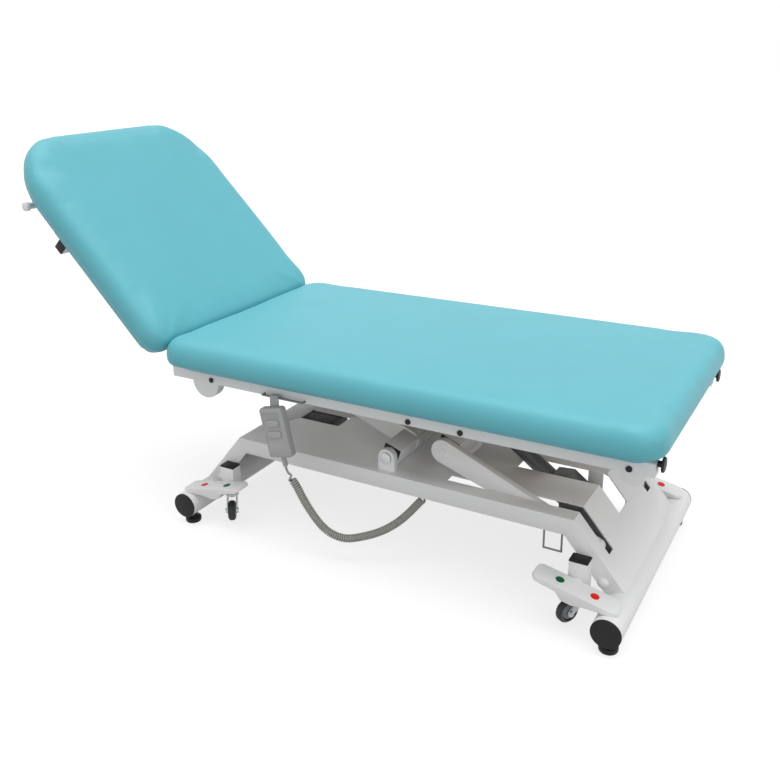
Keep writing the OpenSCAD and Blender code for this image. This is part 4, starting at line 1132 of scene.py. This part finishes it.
class COUCH_OT_stage(bpy.types.Operator):
    """Lays the floor and sets the world, the lamps and the camera"""

    bl_idname = "couch.stage"
    bl_label = "Stage"

    camera_place = Vector((0.8690, -1.7290, 1.1036))
    camera_right = Vector((0.8607, 0.5087, -0.0202))
    camera_up = Vector((-0.1425, 0.2788, 0.9497))
    lens = 41.415
    sensor_w = 36
    shift = (0.0295, -0.0660)
    clip = (0.01, 200)
    floor_side = 60.0
    floor_tone = 0.35
    floor_glow = 0.74
    world_level = 0.37
    # Name, strength, direction of the light and spread in degrees
    lamps = (
        ("Top lamp", 2.00, (0.05, -0.05, -1.0), 60),
        ("Foot lamp", 0.75, (-0.85, 0.20, -0.45), 60),
        ("Near lamp", 0.65, (0.15, 0.90, -0.30), 90),
    )

    def camera(self, scene):
        data = bpy.data.cameras.new("Camera")
        data.lens = self.lens
        data.sensor_width = self.sensor_w
        data.shift_x, data.shift_y = self.shift
        data.clip_start, data.clip_end = self.clip
        camera = bpy.data.objects.new("Camera", data)
        scene.collection.objects.link(camera)
        back = self.camera_right.cross(self.camera_up).normalized()
        up = back.cross(self.camera_right).normalized()
        right = up.cross(back)
        turn = Matrix((right, up, back)).transposed()
        camera.matrix_world = Matrix.Translation(self.camera_place + SHIFT) @ turn.to_4x4()
        scene.camera = camera

    def sun(self, scene, name, strength, toward, spread):
        """A soft lamp that shines toward a direction."""
        data = bpy.data.lights.new(name, "SUN")
        data.energy = strength
        data.angle = math.radians(spread)
        lamp = bpy.data.objects.new(name, data)
        lamp.rotation_mode = "QUATERNION"
        lamp.rotation_quaternion = Vector(toward).to_track_quat("-Z", "Y")
        scene.collection.objects.link(lamp)

    def background_rays(self, tree):
        """One for the rays that show the background: seen, reflected or through glass."""
        rays = tree.nodes.new("ShaderNodeLightPath").outputs
        seen = maths(tree, "ADD", rays["Is Camera Ray"], rays["Is Glossy Ray"])
        seen = maths(tree, "ADD", seen, rays["Is Transmission Ray"])
        return maths(tree, "MINIMUM", seen, 1.0)

    def floor(self):
        bpy.ops.object.select_all(action="DESELECT")
        bpy.ops.mesh.primitive_plane_add(size=self.floor_side, location=(0, 0, 0))
        floor = bpy.context.active_object
        floor.name = "floor"
        material = bpy.data.materials.new("Floor")
        material.use_nodes = True
        tree = material.node_tree
        shader = tree.nodes["Principled BSDF"]
        shader.inputs["Base Color"].default_value = (self.floor_tone,) * 3 + (1,)
        shader.inputs["Roughness"].default_value = 0.9
        shader.inputs["Specular IOR Level"].default_value = 0.0
        shader.inputs["Emission Color"].default_value = (1, 1, 1, 1)
        glow = maths(tree, "MULTIPLY", self.background_rays(tree), self.floor_glow)
        tree.links.new(glow, shader.inputs["Emission Strength"])
        floor.data.materials.append(material)

    def world(self, scene):
        world = bpy.data.worlds.new("Studio")
        world.use_nodes = True
        scene.world = world
        tree = world.node_tree
        sky = tree.nodes["Background"]
        sky.inputs["Color"].default_value = (1, 1, 1, 1)
        seen = self.background_rays(tree)
        strength = maths(tree, "MULTIPLY_ADD", seen, 1.0 - self.world_level, self.world_level)
        tree.links.new(strength, sky.inputs["Strength"])

    def execute(self, context):
        scene = context.scene
        scene.view_settings.view_transform = "Standard"
        self.camera(scene)
        self.floor()
        self.world(scene)
        for lamp in self.lamps:
            self.sun(scene, *lamp)
        return {"FINISHED"}


class COUCH_PT_panel(bpy.types.Panel):
    """Buttons that build the couch's pieces"""

    bl_idname = "COUCH_PT_panel"
    bl_label = "Examination couch"
    bl_space_type = "VIEW_3D"
    bl_region_type = "UI"
    bl_category = "Couch"

    def draw(self, context):
        for operator in OPERATORS:
            self.layout.operator(operator.bl_idname)
        for group in (context.scene.couch_sizes, context.scene.couch_colours):
            for name in group.__annotations__:
                self.layout.prop(group, name)


OPERATORS = (
    COUCH_OT_stage, COUCH_OT_curly_cord, COUCH_OT_seat_cushion, COUCH_OT_back_cushion,
    COUCH_OT_base, COUCH_OT_feet, COUCH_OT_casters, COUCH_OT_pedals, COUCH_OT_lift,
    COUCH_OT_seat_frame, COUCH_OT_back_frame, COUCH_OT_gas_spring, COUCH_OT_handset,
)
CLASSES = (CouchColours, CouchSizes, *OPERATORS, COUCH_PT_panel)


def register():
    for item in CLASSES:
        bpy.utils.register_class(item)
    bpy.types.Scene.couch_colours = bpy.props.PointerProperty(type=CouchColours)
    bpy.types.Scene.couch_sizes = bpy.props.PointerProperty(type=CouchSizes)


def unregister():
    del bpy.types.Scene.couch_sizes
    del bpy.types.Scene.couch_colours
    for item in reversed(CLASSES):
        bpy.utils.unregister_class(item)


def main():
    """Builds the couch."""
    register()
    for operator in OPERATORS:
        name = operator.bl_idname.split(".")[1]
        getattr(bpy.ops.couch, name)()


if __name__ == "__main__":
    main()
